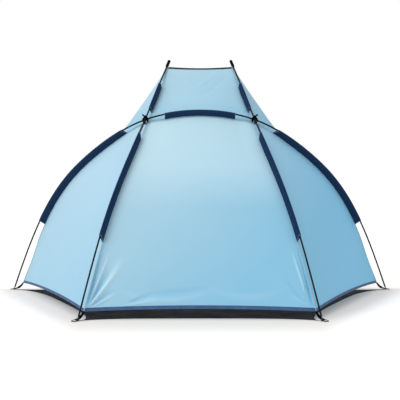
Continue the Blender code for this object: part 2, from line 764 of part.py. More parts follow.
def wing_grid():
    """The panel beside the opening, between a side pole's upper end and a hoop leg."""
    hoop_side = HOOP_SEAM.points[LOWER_STEPS::-1]
    free_edge = bowed(ROOF_CORNER, FRONT_CORNER, LOWER_STEPS, (0, 0, 0))
    top = SIDE_SEAM.points[LOWER_STEPS:]
    foot = np.repeat(FRONT_CORNER[None], UPPER_STEPS + 1, axis=0)
    return coons(hoop_side, free_edge, top, foot)


def cloth_panels():
    """All six panels, and the grids that their bindings follow."""
    edge = CLOTH_EDGE_INSET
    rear = pull_in(rear_wall_grid(), left=edge, right=edge, top=edge)
    rear = hemmed(rear, REAR_BINDING_DEPTH)
    sheet("rear_wall", rear, SKY_CLOTH, CLOTH)

    side = side_wall_grid()
    side[-1] = to_point(side[-2], MEETING, CLOTH_POINT_INSET)
    side = pull_in(side, left=edge, right=edge)
    side[-1] = to_point(side[-2], MEETING, CLOTH_POINT_INSET)
    side = hemmed(side, SIDE_BINDING_DEPTH)
    add_twins(sheet("side_wall_left", side, SKY_CLOTH, CLOTH))

    roof = pull_in(roof_grid(), left=edge, right=edge, bottom=edge)
    roof = hemmed(roof[::-1], ROOF_BINDING_DEPTH)
    sheet("roof_panel", roof, SKY_CLOTH, CLOTH)

    wing = wing_grid()
    wing = pull_in(wing, left=edge, bottom=edge)
    wing[-1] = to_point(wing[-2], FRONT_CORNER, CLOTH_POINT_INSET)
    add_twins(sheet("wing_left", wing, SKY_CLOTH, CLOTH))
    return rear, side, roof


# Sleeves and bindings

def sleeve(name, line, seam, start, end):
    """A flat tube of cloth from the seam round the pole and back."""
    rows = []
    for distance in line.distances(start, end):
        base = seam.point(distance)
        down = line.point(distance) - base
        reach = float(np.linalg.norm(down))
        up = down / reach
        aside = unit(np.cross(line.tangent(distance), up))
        section = teardrop(reach, SLEEVE_RADIUS, SLEEVE_LIFT, SLEEVE_EDGE_HALF_GAP,
                           SLEEVE_ARC_POINTS)
        rows.append([base + up * h + aside * a for a, h in section])
    return sheet(name, rows, NAVY_CLOTH, CLOTH)


def sleeves():
    leg = HOOP_CROSSING_AT
    low, high = (share * leg for share in HOOP_SIDE_SLEEVE_SHARES)
    add_twins(sleeve("hoop_sleeve_left", HOOP, HOOP_SEAM, low, high))
    half = HOOP_CROWN_SLEEVE_SHARE * (HOOP.length / 2 - leg)
    sleeve("hoop_sleeve_crown", HOOP, HOOP_SEAM, HOOP.length / 2 - half, HOOP.length / 2 + half)
    low, high = (share * SIDE_CROSSING_AT for share in LOWER_SLEEVE_SHARES)
    add_twins(sleeve("side_sleeve_lower_left", SIDE, SIDE_SEAM, low, high))
    above = SIDE.length - SIDE_CROSSING_AT
    low, high = (SIDE_CROSSING_AT + share * above for share in UPPER_SLEEVE_SHARES)
    add_twins(sleeve("side_sleeve_upper_left", SIDE, SIDE_SEAM, low, high))


def binding(name, grid, depth, spec):
    """A tape folded over a panel's free edge, with the cloth between its two leaves."""
    edge = Line(grid[0])
    inner = Line(grid[1], edge.at)
    leaf = CLOTH / 2 + CLOTH_GAP / 2 + BINDING / 2 + BINDING_CLEARANCE
    section = ((leaf, depth), (leaf, -leaf), (-leaf, -leaf), (-leaf, depth))
    rows = []
    for distance in edge.distances(BINDING_END_INSET, edge.length - BINDING_END_INSET):
        point = edge.point(distance)
        along = edge.tangent(distance)
        across = inner.point(distance) - point
        up = across / np.linalg.norm(np.cross(along, across))
        aside = unit(np.cross(along, up))
        rows.append([point + up * h + aside * a for a, h in section])
    return sheet(name, rows, spec, BINDING)


def bindings(rear, side, roof):
    binding("rear_hem_binding", rear, REAR_BINDING_DEPTH, BLUE_BINDING)
    add_twins(binding("side_hem_binding_left", side, SIDE_BINDING_DEPTH, BLUE_BINDING))
    binding("roof_edge_binding", roof, ROOF_BINDING_DEPTH, NAVY_CLOTH)


# Groundsheet

def floor_corner(frame):
    """The two tip points of a corner tongue, which reaches under the webbing."""
    _, bar, inwards, along = frame
    middle = bar + along * (EYE_OFFSET + STRAP_OFFSET) + inwards * FLOOR_TONGUE_SETBACK
    return [(middle + along * w)[:2] for w in (-FLOOR_TONGUE_HALF_WIDTH, FLOOR_TONGUE_HALF_WIDTH)]


def scooped(start, end, inset_share, quick_end=0):
    """An edge that draws in from its ends and then runs nearly straight.

    With quick_end at 1 it draws in faster at its end than at its start.
    """
    share = np.linspace(0, 1, FLOOR_EDGE_STEPS + 1)[:, None]
    along = ease_ends(share)
    reached = along + (share - along) * share * quick_end
    chord = end - start
    square = np.array((-chord[1], chord[0]))
    depth_share = inset_share * (1 - (2 * reached - 1) ** 4)
    return start + chord * along + square * depth_share


def ease_ends(share):
    """Sets the points closer together near the ends of an edge."""
    turn = math.pi * share
    return (1 - np.cos(turn) * (1 - FLOOR_EDGE_EASE_SHARE * np.sin(turn) ** 2)) / 2


def groundsheet(rear_frame, front_frame):
    flip = np.array((-1, 1))
    front = sorted(floor_corner(front_frame), key=lambda p: -p[1])
    rear = sorted(floor_corner(rear_frame), key=lambda p: -p[1])
    left_edge = scooped(front[1], rear[0], FLOOR_SIDE_INSET_SHARE, quick_end=1)
    rear_edge = scooped(rear[1], rear[1] * flip, FLOOR_REAR_INSET_SHARE)
    front_edge = scooped(front[0] * flip, front[0], FLOOR_FRONT_INSET_SHARE)
    right_edge = left_edge[::-1] * flip
    outline = np.concatenate([left_edge, rear_edge, right_edge, front_edge])
    curve = bpy.data.curves.new("groundsheet", "CURVE")
    curve.dimensions = "2D"
    curve.fill_mode = "BOTH"
    curve.extrude = FLOOR_THICKNESS / 2
    spline = curve.splines.new("POLY")
    spline.points.add(len(outline) - 1)
    spline.use_cyclic_u = True
    for knot, (x, y) in zip(spline.points, outline):
        knot.co = (x, y, 0, 1)
    obj = add_object("groundsheet", curve, GROUND_CLOTH)
    obj.location.z = FLOOR_THICKNESS / 2
    return obj


# Ties at the crossings

def crossing_tie(name):
    """A tape sewn to the cloth, wrapped round both poles and knotted over them."""
    hoop_point = HOOP.point(HOOP_CROSSING_AT)
    side_point = SIDE.point(SIDE_CROSSING_AT)
    up = unit(side_point - hoop_point)
    between = unit(HOOP.tangent(HOOP_CROSSING_AT) + SIDE.tangent(SIDE_CROSSING_AT))
    between = unit(between - up * (between @ up))
    aside = np.cross(up, between)
    wall = TIE_CLEARANCE + TIE_THICKNESS / 2
    low = -POLE_RADIUS - wall
    high = float(np.linalg.norm(side_point - hoop_point)) + POLE_RADIUS + wall
    out, cut = TIE_HALF_WIDTH, TIE_CORNER_SHARE * POLE_RADIUS
    ring = [(out, low + cut), (out, high - cut), (out - cut, high), (cut - out, high),
            (-out, high - cut), (-out, low + cut), (cut - out, low), (out - cut, low),
            (out, low + cut)]
    rows = [[hoop_point + up * h + aside * a + between * w for a, h in ring]
            for w in (-TIE_WIDTH / 2, TIE_WIDTH / 2)]
    tie = sheet(name, rows, BLACK_WEBBING, TIE_THICKNESS)
    mesh = evaluated_mesh(tie)
    tie.modifiers.clear()
    tie.data = mesh

    bpy.ops.mesh.primitive_uv_sphere_add(segments=12, ring_count=8, radius=1)
    ball = bpy.context.object
    ball.data.transform(Matrix.Diagonal((*KNOT_RADII, 1)))
    knot = add_object("knot", ball.data, BLACK_WEBBING)
    bpy.data.objects.remove(ball)
    over = high + TIE_THICKNESS / 4 + KNOT_RADII[2]
    place(knot, hoop_point + up * over, up, between)
    combine(tie, knot, "UNION")

    half_width = TIE_END_WIDTH / 2
    for turn, way in TIE_END_TURNS:
        ahead = way * (aside * math.cos(turn) + between * math.sin(turn))
        beside = np.cross(up, ahead)
        rows = []
        for share in np.linspace(0, 1, TIE_END_STEPS + 1):
            lift = over + KNOT_RADII[2] * share * (1 - TIE_END_BEND_SHARE * share)
            spine = hoop_point + up * lift + ahead * (KNOT_RADII[0] / 2 + TIE_END_LENGTH * share)
            rows.append([spine - beside * half_width, spine + beside * half_width])
        combine(tie, sheet("end", rows, BLACK_WEBBING, TIE_THICKNESS), "UNION")

    seam_way = MEETING - hoop_point
    reach = float(np.linalg.norm(seam_way)) - CLOTH - CLOTH_GAP
    down = unit(seam_way)
    start = POLE_RADIUS + TIE_CLEARANCE + TIE_THICKNESS / 2 + STEM_CLEARANCE
    across = unit(np.cross(down, aside))
    rows = [[hoop_point + down * h + across * w for w in (-half_width, half_width)]
            for h in (start, reach)]
    combine(tie, sheet("stem", rows, BLACK_WEBBING, TIE_THICKNESS), "UNION")
    return tie


def build():
    pin_top = POLE_FOOT_CLEARANCE + PIN_DEPTH + SHOCK_CORD_END_GAP
    pole(HOOP, "hoop", HOOP_SECTIONS, POLE_FOOT_CLEARANCE, HOOP.length - POLE_FOOT_CLEARANCE)
    shock_cord(HOOP, "hoop_shock_cord", pin_top, HOOP.length - pin_top)

    pole(SIDE, "side_pole_left", SIDE_SECTIONS, POLE_FOOT_CLEARANCE, SIDE.length)
    shock_cord(SIDE, "side_shock_cord_left", pin_top, SIDE.length)
    for i in range(SIDE_SECTIONS):
        add_twins(bpy.data.objects[f"side_pole_left_section_{i + 1}"])
        if i > 0:
            add_twins(bpy.data.objects[f"side_pole_left_ferrule_{i}"])
    add_twins(bpy.data.objects["side_shock_cord_left"])

    frames = {"front": foot_frame(HOOP, FRONT_CORNER), "rear": foot_frame(SIDE, REAR_CORNER)}
    for row, line, corner in (("front", HOOP, FRONT_CORNER), ("rear", SIDE, REAR_CORNER)):
        add_twins(foot_pin(f"foot_pin_{row}_left", line, frames[row]))
        add_twins(foot_ring(f"foot_ring_{row}_left", frames[row]))
        add_twins(foot_strap(f"foot_strap_{row}_left", frames[row], corner))

    add_twins(tip_cap("tip_cap_left"))
    add_twins(tip_loop("tip_loop_left"))
    bindings(*cloth_panels())
    sleeves()
    groundsheet(frames["rear"], frames["front"])
    add_twins(crossing_tie("crossing_tie_left"))


build()
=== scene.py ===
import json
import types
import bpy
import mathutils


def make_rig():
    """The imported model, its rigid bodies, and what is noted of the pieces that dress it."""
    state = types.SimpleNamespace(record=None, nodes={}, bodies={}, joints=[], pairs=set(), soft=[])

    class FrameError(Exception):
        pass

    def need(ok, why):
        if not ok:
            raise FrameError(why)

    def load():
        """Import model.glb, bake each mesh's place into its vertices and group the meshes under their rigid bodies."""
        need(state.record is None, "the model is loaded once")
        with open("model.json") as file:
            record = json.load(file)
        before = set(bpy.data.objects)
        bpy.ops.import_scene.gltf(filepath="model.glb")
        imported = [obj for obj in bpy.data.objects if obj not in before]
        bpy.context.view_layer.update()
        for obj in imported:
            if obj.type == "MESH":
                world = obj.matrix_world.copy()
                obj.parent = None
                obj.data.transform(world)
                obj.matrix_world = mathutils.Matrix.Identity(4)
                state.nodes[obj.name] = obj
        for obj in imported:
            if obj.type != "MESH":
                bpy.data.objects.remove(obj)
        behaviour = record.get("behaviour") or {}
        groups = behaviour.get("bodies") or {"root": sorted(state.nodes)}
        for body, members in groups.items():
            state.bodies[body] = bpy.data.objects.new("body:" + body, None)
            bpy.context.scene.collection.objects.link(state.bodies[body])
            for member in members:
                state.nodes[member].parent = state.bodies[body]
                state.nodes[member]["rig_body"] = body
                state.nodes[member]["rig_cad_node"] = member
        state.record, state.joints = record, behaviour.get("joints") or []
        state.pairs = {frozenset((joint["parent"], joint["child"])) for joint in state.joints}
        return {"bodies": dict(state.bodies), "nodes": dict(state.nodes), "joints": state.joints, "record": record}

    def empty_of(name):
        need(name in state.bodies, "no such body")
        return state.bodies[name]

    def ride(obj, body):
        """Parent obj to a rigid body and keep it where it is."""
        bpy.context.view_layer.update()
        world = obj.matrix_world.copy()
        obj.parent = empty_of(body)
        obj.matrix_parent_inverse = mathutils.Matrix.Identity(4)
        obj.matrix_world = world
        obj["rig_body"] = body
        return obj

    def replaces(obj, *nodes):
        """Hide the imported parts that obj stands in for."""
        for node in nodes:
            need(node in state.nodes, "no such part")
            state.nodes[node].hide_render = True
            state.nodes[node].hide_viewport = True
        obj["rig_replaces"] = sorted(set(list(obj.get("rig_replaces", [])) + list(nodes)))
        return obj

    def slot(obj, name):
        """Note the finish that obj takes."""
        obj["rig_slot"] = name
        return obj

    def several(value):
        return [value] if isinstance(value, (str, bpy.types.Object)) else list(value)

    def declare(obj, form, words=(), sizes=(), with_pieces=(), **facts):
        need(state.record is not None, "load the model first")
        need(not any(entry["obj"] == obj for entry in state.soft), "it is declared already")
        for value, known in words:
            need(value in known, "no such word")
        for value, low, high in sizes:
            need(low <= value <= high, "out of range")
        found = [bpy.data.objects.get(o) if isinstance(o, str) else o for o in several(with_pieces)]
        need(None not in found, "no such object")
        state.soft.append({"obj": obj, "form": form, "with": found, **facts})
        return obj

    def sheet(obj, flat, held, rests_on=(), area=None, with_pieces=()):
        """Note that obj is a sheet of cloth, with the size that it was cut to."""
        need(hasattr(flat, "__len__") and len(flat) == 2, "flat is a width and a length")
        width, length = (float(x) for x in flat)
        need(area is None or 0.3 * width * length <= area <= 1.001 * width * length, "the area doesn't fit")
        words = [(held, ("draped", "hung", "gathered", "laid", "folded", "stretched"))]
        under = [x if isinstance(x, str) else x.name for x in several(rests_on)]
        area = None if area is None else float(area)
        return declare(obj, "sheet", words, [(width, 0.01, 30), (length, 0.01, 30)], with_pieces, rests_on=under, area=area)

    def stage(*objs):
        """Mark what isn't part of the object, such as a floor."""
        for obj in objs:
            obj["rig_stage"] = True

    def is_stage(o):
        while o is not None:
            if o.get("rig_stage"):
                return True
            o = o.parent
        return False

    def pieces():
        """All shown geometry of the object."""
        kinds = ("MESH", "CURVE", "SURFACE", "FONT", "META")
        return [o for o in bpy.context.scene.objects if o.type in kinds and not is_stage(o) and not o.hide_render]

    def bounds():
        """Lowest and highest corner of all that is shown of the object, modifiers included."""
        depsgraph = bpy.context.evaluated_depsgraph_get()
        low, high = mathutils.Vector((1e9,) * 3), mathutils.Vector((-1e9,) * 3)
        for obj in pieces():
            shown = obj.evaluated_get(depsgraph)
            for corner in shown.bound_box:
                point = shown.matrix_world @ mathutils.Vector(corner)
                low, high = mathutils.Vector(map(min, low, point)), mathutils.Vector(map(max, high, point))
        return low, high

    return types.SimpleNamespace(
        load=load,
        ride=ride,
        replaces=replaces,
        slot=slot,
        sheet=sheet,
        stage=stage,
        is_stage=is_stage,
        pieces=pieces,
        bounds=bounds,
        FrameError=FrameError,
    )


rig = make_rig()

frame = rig.load()

import json
import math

import bmesh
import bpy
import numpy as np

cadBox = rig.bounds()
print("frame loaded:", len(frame["nodes"]), "nodes")

# Lengths are in metres. The closed back faces -Y and the open front +Y.
tentShape = {
    "frontHalfWidth": 1.066,
    "rearHalfWidth": 0.572,
    "depth": 1.20,
    "hoopHeight": 1.005,
    "hoopLean": math.radians(29.2),
    "crossingHalfWidth": 0.280,
    "tipHalfWidth": 0.172,
    "tipHeight": 1.286,
    "tipBehindFront": 0.200,
    "eyeHeight": 0.007,
    "core": (0.0, 0.60, 0.15),
    "hoopBow": ((1.0, 0.0), (0.9355, 0.165), (0.8433, 0.377), (0.6773, 0.647),
                (0.514, 0.806), (0.2755, 0.952), (0.0, 1.0)),
    "lowerBow": ((0.2011, 0.170, 0.261), (0.4291, 0.395, 0.522), (0.7278, 0.690, 0.784)),
    "upperBow": ((0.5526, 0.549, 0.563),),
    "poleGap": 0.0091,  # between the two poles' middles where they cross
    "steps": 1600,
}
seamShape = {
    "rearCorner": 0.053,  # along the side pole from its foot
    "frontCorner": 0.056,  # along the hoop from its foot
    "roofCorner": 0.0416,  # back along the side pole from its end
    "hoopDrop": 0.034,
    "sideDrop": 0.039,
    "hoopFootDrop": 0.038,
    "sideFootDrop": 0.035,
    "bareDrop": 0.042,
    "crossingDrop": 0.020,
    "crownDrop": 0.031,
    "crownEase": 0.35,  # share of the way from a crossing to the hoop's middle
    "upperDrop": 0.034,
    "tipDrop": 0.0073,
    "ease": (0.12, 0.3, 0.8),
    "meetReach": 0.06,
    "hemRise": 0.0115,
    "sideHemRise": 0.018,
    "hemInset": 0.010,
    "roofSag": 0.007,
}


def unit(v):
    # every vector divided by its own length
    return v / np.maximum(np.linalg.norm(v, axis=-1, keepdims=True), 1e-12)


def squareTo(v, way):
    # the direction of v less its part along way
    return unit(v - way * (v * way).sum(-1, keepdims=True))


def smooth(t):
    # 3t^2 - 2t^3, flat at 0 and at 1
    t = np.clip(t, 0, 1)
    return t * t * (3 - 2 * t)


def fade(off, reach):
    # 0 at an edge and 1 from reach inwards
    return smooth(off / reach)


def bump(x, width):
    # a bell: e to the power of -(x / width)^2
    return np.exp(-(x / width) ** 2)


def arch(t):
    # half a sine: 0 at 0 and at 1
    return np.sin(math.pi * np.clip(t, 0, 1))


def lengths(grid, axis):
    # the distance of every grid point along its row or column
    steps = np.linalg.norm(np.diff(grid, axis=axis), axis=-1)
    return np.concatenate([0 * steps.take([0], axis=axis), np.cumsum(steps, axis=axis)], axis=axis)


def naturalCubic(knots, steps):
    # the natural cubic spline through the knots, by the length between them: a bent rod's shape
    knots = np.array(knots, float)
    where = lengths(knots, 0)
    gap, count = np.diff(where), len(knots)
    system, right = np.eye(count), np.zeros_like(knots)
    for i in range(1, count - 1):
        system[i, i - 1:i + 2] = gap[i - 1], 2 * (gap[i - 1] + gap[i]), gap[i]
        right[i] = 6 * ((knots[i + 1] - knots[i]) / gap[i] - (knots[i] - knots[i - 1]) / gap[i - 1])
    bend = np.linalg.solve(system, right)
    t = np.linspace(0, where[-1], steps + 1)
    k = np.clip(np.searchsorted(where, t, side="right") - 1, 0, count - 2)
    width = gap[k][:, None]
    before = (where[k + 1] - t)[:, None] / width
    after = 1 - before
    cubic = (before ** 3 - before) * bend[k] + (after ** 3 - after) * bend[k + 1]
    return before * knots[k] + after * knots[k + 1] + cubic * width ** 2 / 6


def rod(points):
    # a line with the distance of each point along it
    return {"points": points, "at": lengths(points, 0)}


def onLine(line, s):
    # the points at distances s within a line
    return np.stack([np.interp(s, line["at"], line["points"][:, k]) for k in range(3)], -1)


def heading(line, s):
    # the unit direction at distances s, from the points 4 mm either side; past an end it is the end's own
    reach, last = 0.004, line["at"][-1]
    inside = np.clip(s, 0, last)
    return unit(onLine(line, np.minimum(inside + reach, last)) - onLine(line, np.maximum(inside - reach, 0)))


def place(line, s):
    # the points at distances s along a line, run on straight past its ends
    inside = np.clip(s, 0, line["at"][-1])
    return onLine(line, inside) + heading(line, s) * (s - inside)[..., None]


def pull(line, s):
    # towards the tent's core, square to the line
    return squareTo(np.array(tentShape["core"]) - place(line, s), heading(line, s))


def eased(s, knots):
    # a value that runs through (distance, value) knots, smoothly from each to the next
    where, value = np.array(knots, float).T
    k = np.clip(np.searchsorted(where, s, side="right") - 1, 0, len(where) - 2)
    return value[k] + (value[k + 1] - value[k]) * smooth((s - where[k]) / (where[k + 1] - where[k]))


def mirrored(points):
    return points * np.array((-1.0, 1.0, 1.0))


# The poles' own curves, as in the frame
def makeHoop():
    # knots at shares of the half width and of the rise, in a plane that leans back
    shape = tentShape
    rise = shape["hoopHeight"] - shape["eyeHeight"]
    half = [(-a * shape["frontHalfWidth"], shape["depth"] / 2 - b * rise * math.tan(shape["hoopLean"]),
             shape["eyeHeight"] + b * rise) for a, b in shape["hoopBow"]]
    return rod(naturalCubic(half + [(-x, y, z) for x, y, z in reversed(half[:-1])], shape["steps"]))


def makeSide(hoop, crossing):
    # knots at shares of the way from the foot to the crossing over the hoop, and from there to the tip
    shape = tentShape
    foot = np.array((-shape["rearHalfWidth"], -shape["depth"] / 2, shape["eyeHeight"]))
    tip = np.array((-shape["tipHalfWidth"], shape["depth"] / 2 - shape["tipBehindFront"], shape["tipHeight"]))
    under = place(hoop, crossing)
    way = tip - foot
    for _ in range(4):  # each round sets the gap squarer to both poles
        out = unit(np.cross(way, heading(hoop, crossing)))
        out = -out if out @ (np.array(shape["core"]) - under) > 0 else out
        over = under + out * shape["poleGap"]
        lower = [foot + np.array(b) * (over - foot) for b in shape["lowerBow"]]
        upper = [over + np.array(b) * (tip - over) for b in shape["upperBow"]]
        line = naturalCubic([foot, *lower, over, *upper, tip], shape["steps"])
        near = int(np.argmin(np.linalg.norm(line - over, axis=1)))
        way = line[near + 1] - line[near - 1]
    line = rod(line)
    return line, float(line["at"][near])


hoop = makeHoop()
hoopEnd = float(hoop["at"][-1])
hoopCross = float(np.interp(-tentShape["crossingHalfWidth"], hoop["points"][:, 0], hoop["at"]))
side, sideCross = makeSide(hoop, hoopCross)
sideEnd = float(side["at"][-1])
frontAt, rearAt, roofAt = seamShape["frontCorner"], seamShape["rearCorner"], sideEnd - seamShape["roofCorner"]


def hoopSeam(s):
    # the hoop's point, moved towards the core by the seam's drop there, alike on both sides of the middle
    shape = seamShape
    low, middle, high = (frontAt + k * (hoopCross - frontAt) for k in shape["ease"])
    crown = hoopCross + shape["crownEase"] * (hoopEnd / 2 - hoopCross)
    drop = eased(np.minimum(s, hoopEnd - s), [
        (frontAt, shape["hoopFootDrop"]), (low, shape["bareDrop"]), (middle, shape["hoopDrop"]),
        (high, shape["hoopDrop"]), (hoopCross, shape["crossingDrop"]), (crown, shape["crownDrop"]),
        (hoopEnd / 2, shape["crownDrop"])])
    return place(hoop, s) + pull(hoop, s) * drop[..., None]


def sideDropped(s):
    # the same along the side pole
    shape = seamShape
    _, middle, high = (rearAt + k * (sideCross - rearAt) for k in shape["ease"])
    drop = eased(s, [
        (rearAt, shape["sideFootDrop"]), (middle, shape["sideDrop"]), (high, shape["sideDrop"]),
        (sideCross, shape["crossingDrop"] + tentShape["poleGap"]), ((sideCross + roofAt) / 2, shape["upperDrop"]),
        (roofAt, shape["tipDrop"])])
    return place(side, s) + pull(side, s) * drop[..., None]


meeting = hoopSeam(hoopCross)


def sideSeam(s):
    # the side pole's dropped line, eased onto the point where it meets the hoop's seam
    off = meeting - sideDropped(sideCross)
    return sideDropped(s) + off * bump(s - sideCross, seamShape["meetReach"])[..., None]


rearCorner, frontCorner, roofCorner = sideSeam(rearAt), hoopSeam(frontAt), sideSeam(roofAt)
feet = {"front": (hoop, frontCorner), "rear": (side, rearCorner)}
print("poles: hoop", round(hoopEnd, 3), "m, side pole", round(sideEnd, 3), "m")


# Sections carried along lines

def carried(points, across, over, x, y):
    # a section, x across and y over, at every point of a line
    return points[:, None] + across[:, None] * x[..., None] + over[:, None] * y[..., None]


def circle(radii, sides):
    # the two coordinates of a circle for each radius
    angle = np.linspace(0, math.tau, sides + 1)
    return radii[:, None] * np.cos(angle), radii[:, None] * np.sin(angle)


def oblong(angle, first, second):
    # a circle's two coordinates, each to a power below 1, which squares it
    x, y = np.cos(angle), np.sin(angle)
    return np.sign(x) * np.abs(x) ** first, np.sign(y) * np.abs(y) ** second


def capped(grid):
    # the tube's ends drawn in to their middles
    ends = [np.repeat(grid[k][:-1].mean(0)[None], grid.shape[1], 0)[None] for k in (0, -1)]
    return np.concatenate([ends[0], grid, ends[1]])


def tube(points, radii, sides, first, closed=False):
    # a circle of the given radius carried along points, square to their direction
    way = unit(np.roll(points, -1, 0) - np.roll(points, 1, 0) if closed else np.gradient(points, axis=0))
    across = squareTo(first, way)
    return carried(points, across, np.cross(way, across), *circle(np.broadcast_to(radii, len(points)), sides))


def onPole(line, profile, sides):
    # rings round a pole, by pairs of a distance along it and a radius
    s, r = np.array(profile, float).T
    up = pull(line, s)
    return carried(place(line, s), up, np.cross(heading(line, s), up), *circle(r, sides))


def ribbon(spine, beside, width, thickness):
    # a rounded-oblong section carried along a spine, closed at both ends
    way = unit(np.gradient(spine, axis=0))
    beside = squareTo(beside, way)
    x, y = oblong(np.linspace(0, math.tau, 17), 0.4, 0.7)
    width = np.broadcast_to(width, len(spine))[:, None]
    return capped(carried(spine, beside, np.cross(way, beside), x * width / 2, y * thickness / 2))


def teardrop(reach, radius, lift, halfGap, count):
    # from one sewn edge straight to its touching point on a rod, round the rod, and straight back
    reach = np.asarray(reach)[..., None]
    lean = np.arcsin(np.clip(radius / reach, 0, 0.999))
    angle = -lean + np.linspace(0, 1, count) * (math.pi + 2 * lean)
    aside, up = radius * np.cos(angle), reach + radius * np.sin(angle)
    t = np.linspace(0, 1, 9)[:-1]
    risingSide = halfGap + (aside[..., :1] - halfGap) * t
    risingUp = lift + (up[..., :1] - lift) * t
    return (np.concatenate([risingSide, aside, -risingSide[..., ::-1]], -1),
            np.concatenate([risingUp, up, risingUp[..., ::-1]], -1))


def band(centre, up, along, x, y, width, steps=5):
    # a section (x beside, y up) carried across the band's width
    section = centre + np.cross(along, up) * x[:, None] + up * y[:, None]
    return section[None] + along * np.linspace(-width / 2, width / 2, steps)[:, None, None]


# Meshes and pieces

def gridMesh(name, grid, maps=None, closed=False):
    # four-sided faces between neighbours of a grid, with its map in metres along and up the surface, and others;
    # doubles are merged so that closed ends and joins weld
    rows, columns = grid.shape[:2]
    number = np.arange(rows * columns).reshape(rows, columns)
    faces = np.stack([number[:-1, :-1], number[:-1, 1:], number[1:, 1:], number[1:, :-1]], -1).reshape(-1, 4)
    mesh = bpy.data.meshes.new(name)
    mesh.from_pydata(grid.reshape(-1, 3).tolist(), [], faces.tolist())
    corner = np.empty(len(mesh.loops), int)
    mesh.loops.foreach_get("vertex_index", corner)
    for label, uv in {"metres": np.stack([lengths(grid, 1), lengths(grid, 0)], -1), **(maps or {})}.items():
        layer = mesh.uv_layers.new(name=label)
        layer.data.foreach_set("uv", np.ascontiguousarray(uv.reshape(-1, 2)[corner], dtype=np.float32).ravel())
    work = bmesh.new()
    work.from_mesh(mesh)
    bmesh.ops.remove_doubles(work, verts=work.verts, dist=1e-6)
    bmesh.ops.dissolve_degenerate(work, edges=work.edges, dist=1e-7)
    if closed:  # a closed surface's faces are turned outwards
        bmesh.ops.recalc_face_normals(work, faces=work.faces)
    work.to_mesh(mesh)
    work.free()
    return mesh


def joinedMesh(name, grids):
    # several closed surfaces in one mesh
    work = bmesh.new()
    for grid in grids:
        work.from_mesh(gridMesh("part", grid, closed=True))
    mesh = bpy.data.meshes.new(name)
    work.to_mesh(mesh)
    work.free()
    return mesh


def newObject(name, data):
    made = bpy.data.objects.new(name, data)
    bpy.context.scene.collection.objects.link(made)
    return made


def newPiece(name, mesh, material, slot, stands=(), body="tent", sharp=40):
    # a finished piece at the origin, which rides on a body and stands for CAD nodes
    piece = newObject(name, mesh)
    mesh.materials.append(material)
    mesh.shade_smooth()
    if sharp:
        mesh.set_sharp_from_angle(angle=math.radians(sharp))
    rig.ride(piece, body)
    if stands:
        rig.replaces(piece, *stands)
    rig.slot(piece, slot)
    return piece


def pair(name):
    # a node's name, and after a left-hand one its mirror image's
    return [name, name.replace("left", "right")] if "left" in name else [name]


def solids(name, grid, material, slot, moving=False):
    # a closed piece for the node and for its mirror image; a moving one rides on the body of its own name
    for node, shown in zip(pair(name), (grid, mirrored(grid))):
        newPiece(node + "Shape", gridMesh(node + "Shape", shown, closed=True), material, slot, [node],
                 node if moving else "tent")


def sheets(name, ending, grid, thickness, material, slot, maps=None):
    # open sheets, which Solidify gives their thickness, half on each side
    made = []
    for node, shown in zip(pair(name), (grid, mirrored(grid))):
        piece = newPiece(node + ending, gridMesh(node + ending, shown, maps), material, slot, [node], sharp=None)
        wall = piece.modifiers.new("thickness", "SOLIDIFY")
        wall.thickness, wall.offset = thickness, 0
        made.append(piece)
    return made


# Shader helpers. A node or socket knows its tree, so no call names it.

def linear(r, g, b):
    # 8-bit screen colour to linear light
    return tuple(c / 12.92 if c <= 0.04045 else ((c + 0.055) / 1.055) ** 2.4 for c in (r / 255, g / 255, b / 255))


def put(node, values):
    # a node's inputs, each linked to a socket or set to a constant
    for key, value in values.items():
        if isinstance(value, bpy.types.NodeSocket):
            node.id_data.links.new(value, node.inputs[key])
        else:
            node.inputs[key].default_value = value
    return node


def add(near, kind, inputs=None, **settings):
    # a new node in the tree of another node or socket
    made = near.id_data.nodes.new("ShaderNode" + kind)
    for key, value in settings.items():
        setattr(made, key, value)
    return put(made, inputs or {})


def calc(operation, *values):
    near = next(value for value in values if isinstance(value, bpy.types.NodeSocket))
    return add(near, "Math", dict(enumerate(values)), operation=operation).outputs[0]


def times(first, second):
    return calc("MULTIPLY", first, second)


def ranged(value, limits):
    return add(value, "MapRange", {"Value": value, **limits}).outputs[0]


def noise(vector, scale, detail):
    return add(vector, "TexNoise", {"Vector": vector, "Scale": scale, "Detail": detail}).outputs[0]


def xyz(vector):
    return add(vector, "SeparateXYZ", {0: vector}).outputs


def ripple(value, turns):
    # a sine between 0 and 1
    return calc("MULTIPLY_ADD", calc("SINE", times(value, turns)), 0.5, 0.5)


def plainWeave(given):
    # over-and-under threads: the product of a sine along and a sine across; and a thicker thread every 5 mm each way
    x, y, _ = xyz(given["Vector"])
    turns = times(given["Threads"], math.tau)
    woven = calc("MULTIPLY_ADD", times(calc("SINE", times(x, turns)), calc("SINE", times(y, turns))), 0.5, 0.5)
    lines = [calc("GREATER_THAN", calc("FRACT", times(v, 200.0)), 0.88) for v in (x, y)]
    return calc("ADD", woven, times(calc("MAXIMUM", *lines), given["Ripstop"]))


def diagonalRib(given):
    # slanted ribs: a sine of along plus across
    x, y, _ = xyz(given["Vector"])
    return ripple(calc("MULTIPLY_ADD", y, given["Slant"], x), times(given["Ribs"], math.tau))


def stitchRow(given):
    # dashes along the map's first axis, at one place on its second
    x, y, _ = xyz(given["Vector"])
    off = calc("ABSOLUTE", calc("SUBTRACT", y, given["Place"]))
    dash = calc("LESS_THAN", calc("FRACT", calc("DIVIDE", x, given["Pitch"])), 0.72)
    return times(calc("LESS_THAN", off, times(given["Width"], 0.5)), dash)


def edgeBand(given):
    # 1 inside a distance from the map's edge, 0 beyond it
    return calc("LESS_THAN", xyz(given["Vector"])[1], given["Width"])


def cloudy(given):
    # soft patches: noise on Object coordinates, eased between a low and a high value
    return ranged(noise(given["Vector"], given["Scale"], 4.0),
                  {"From Min": 0.3, "From Max": 0.7, "To Min": given["Low"], "To Max": given["High"]})


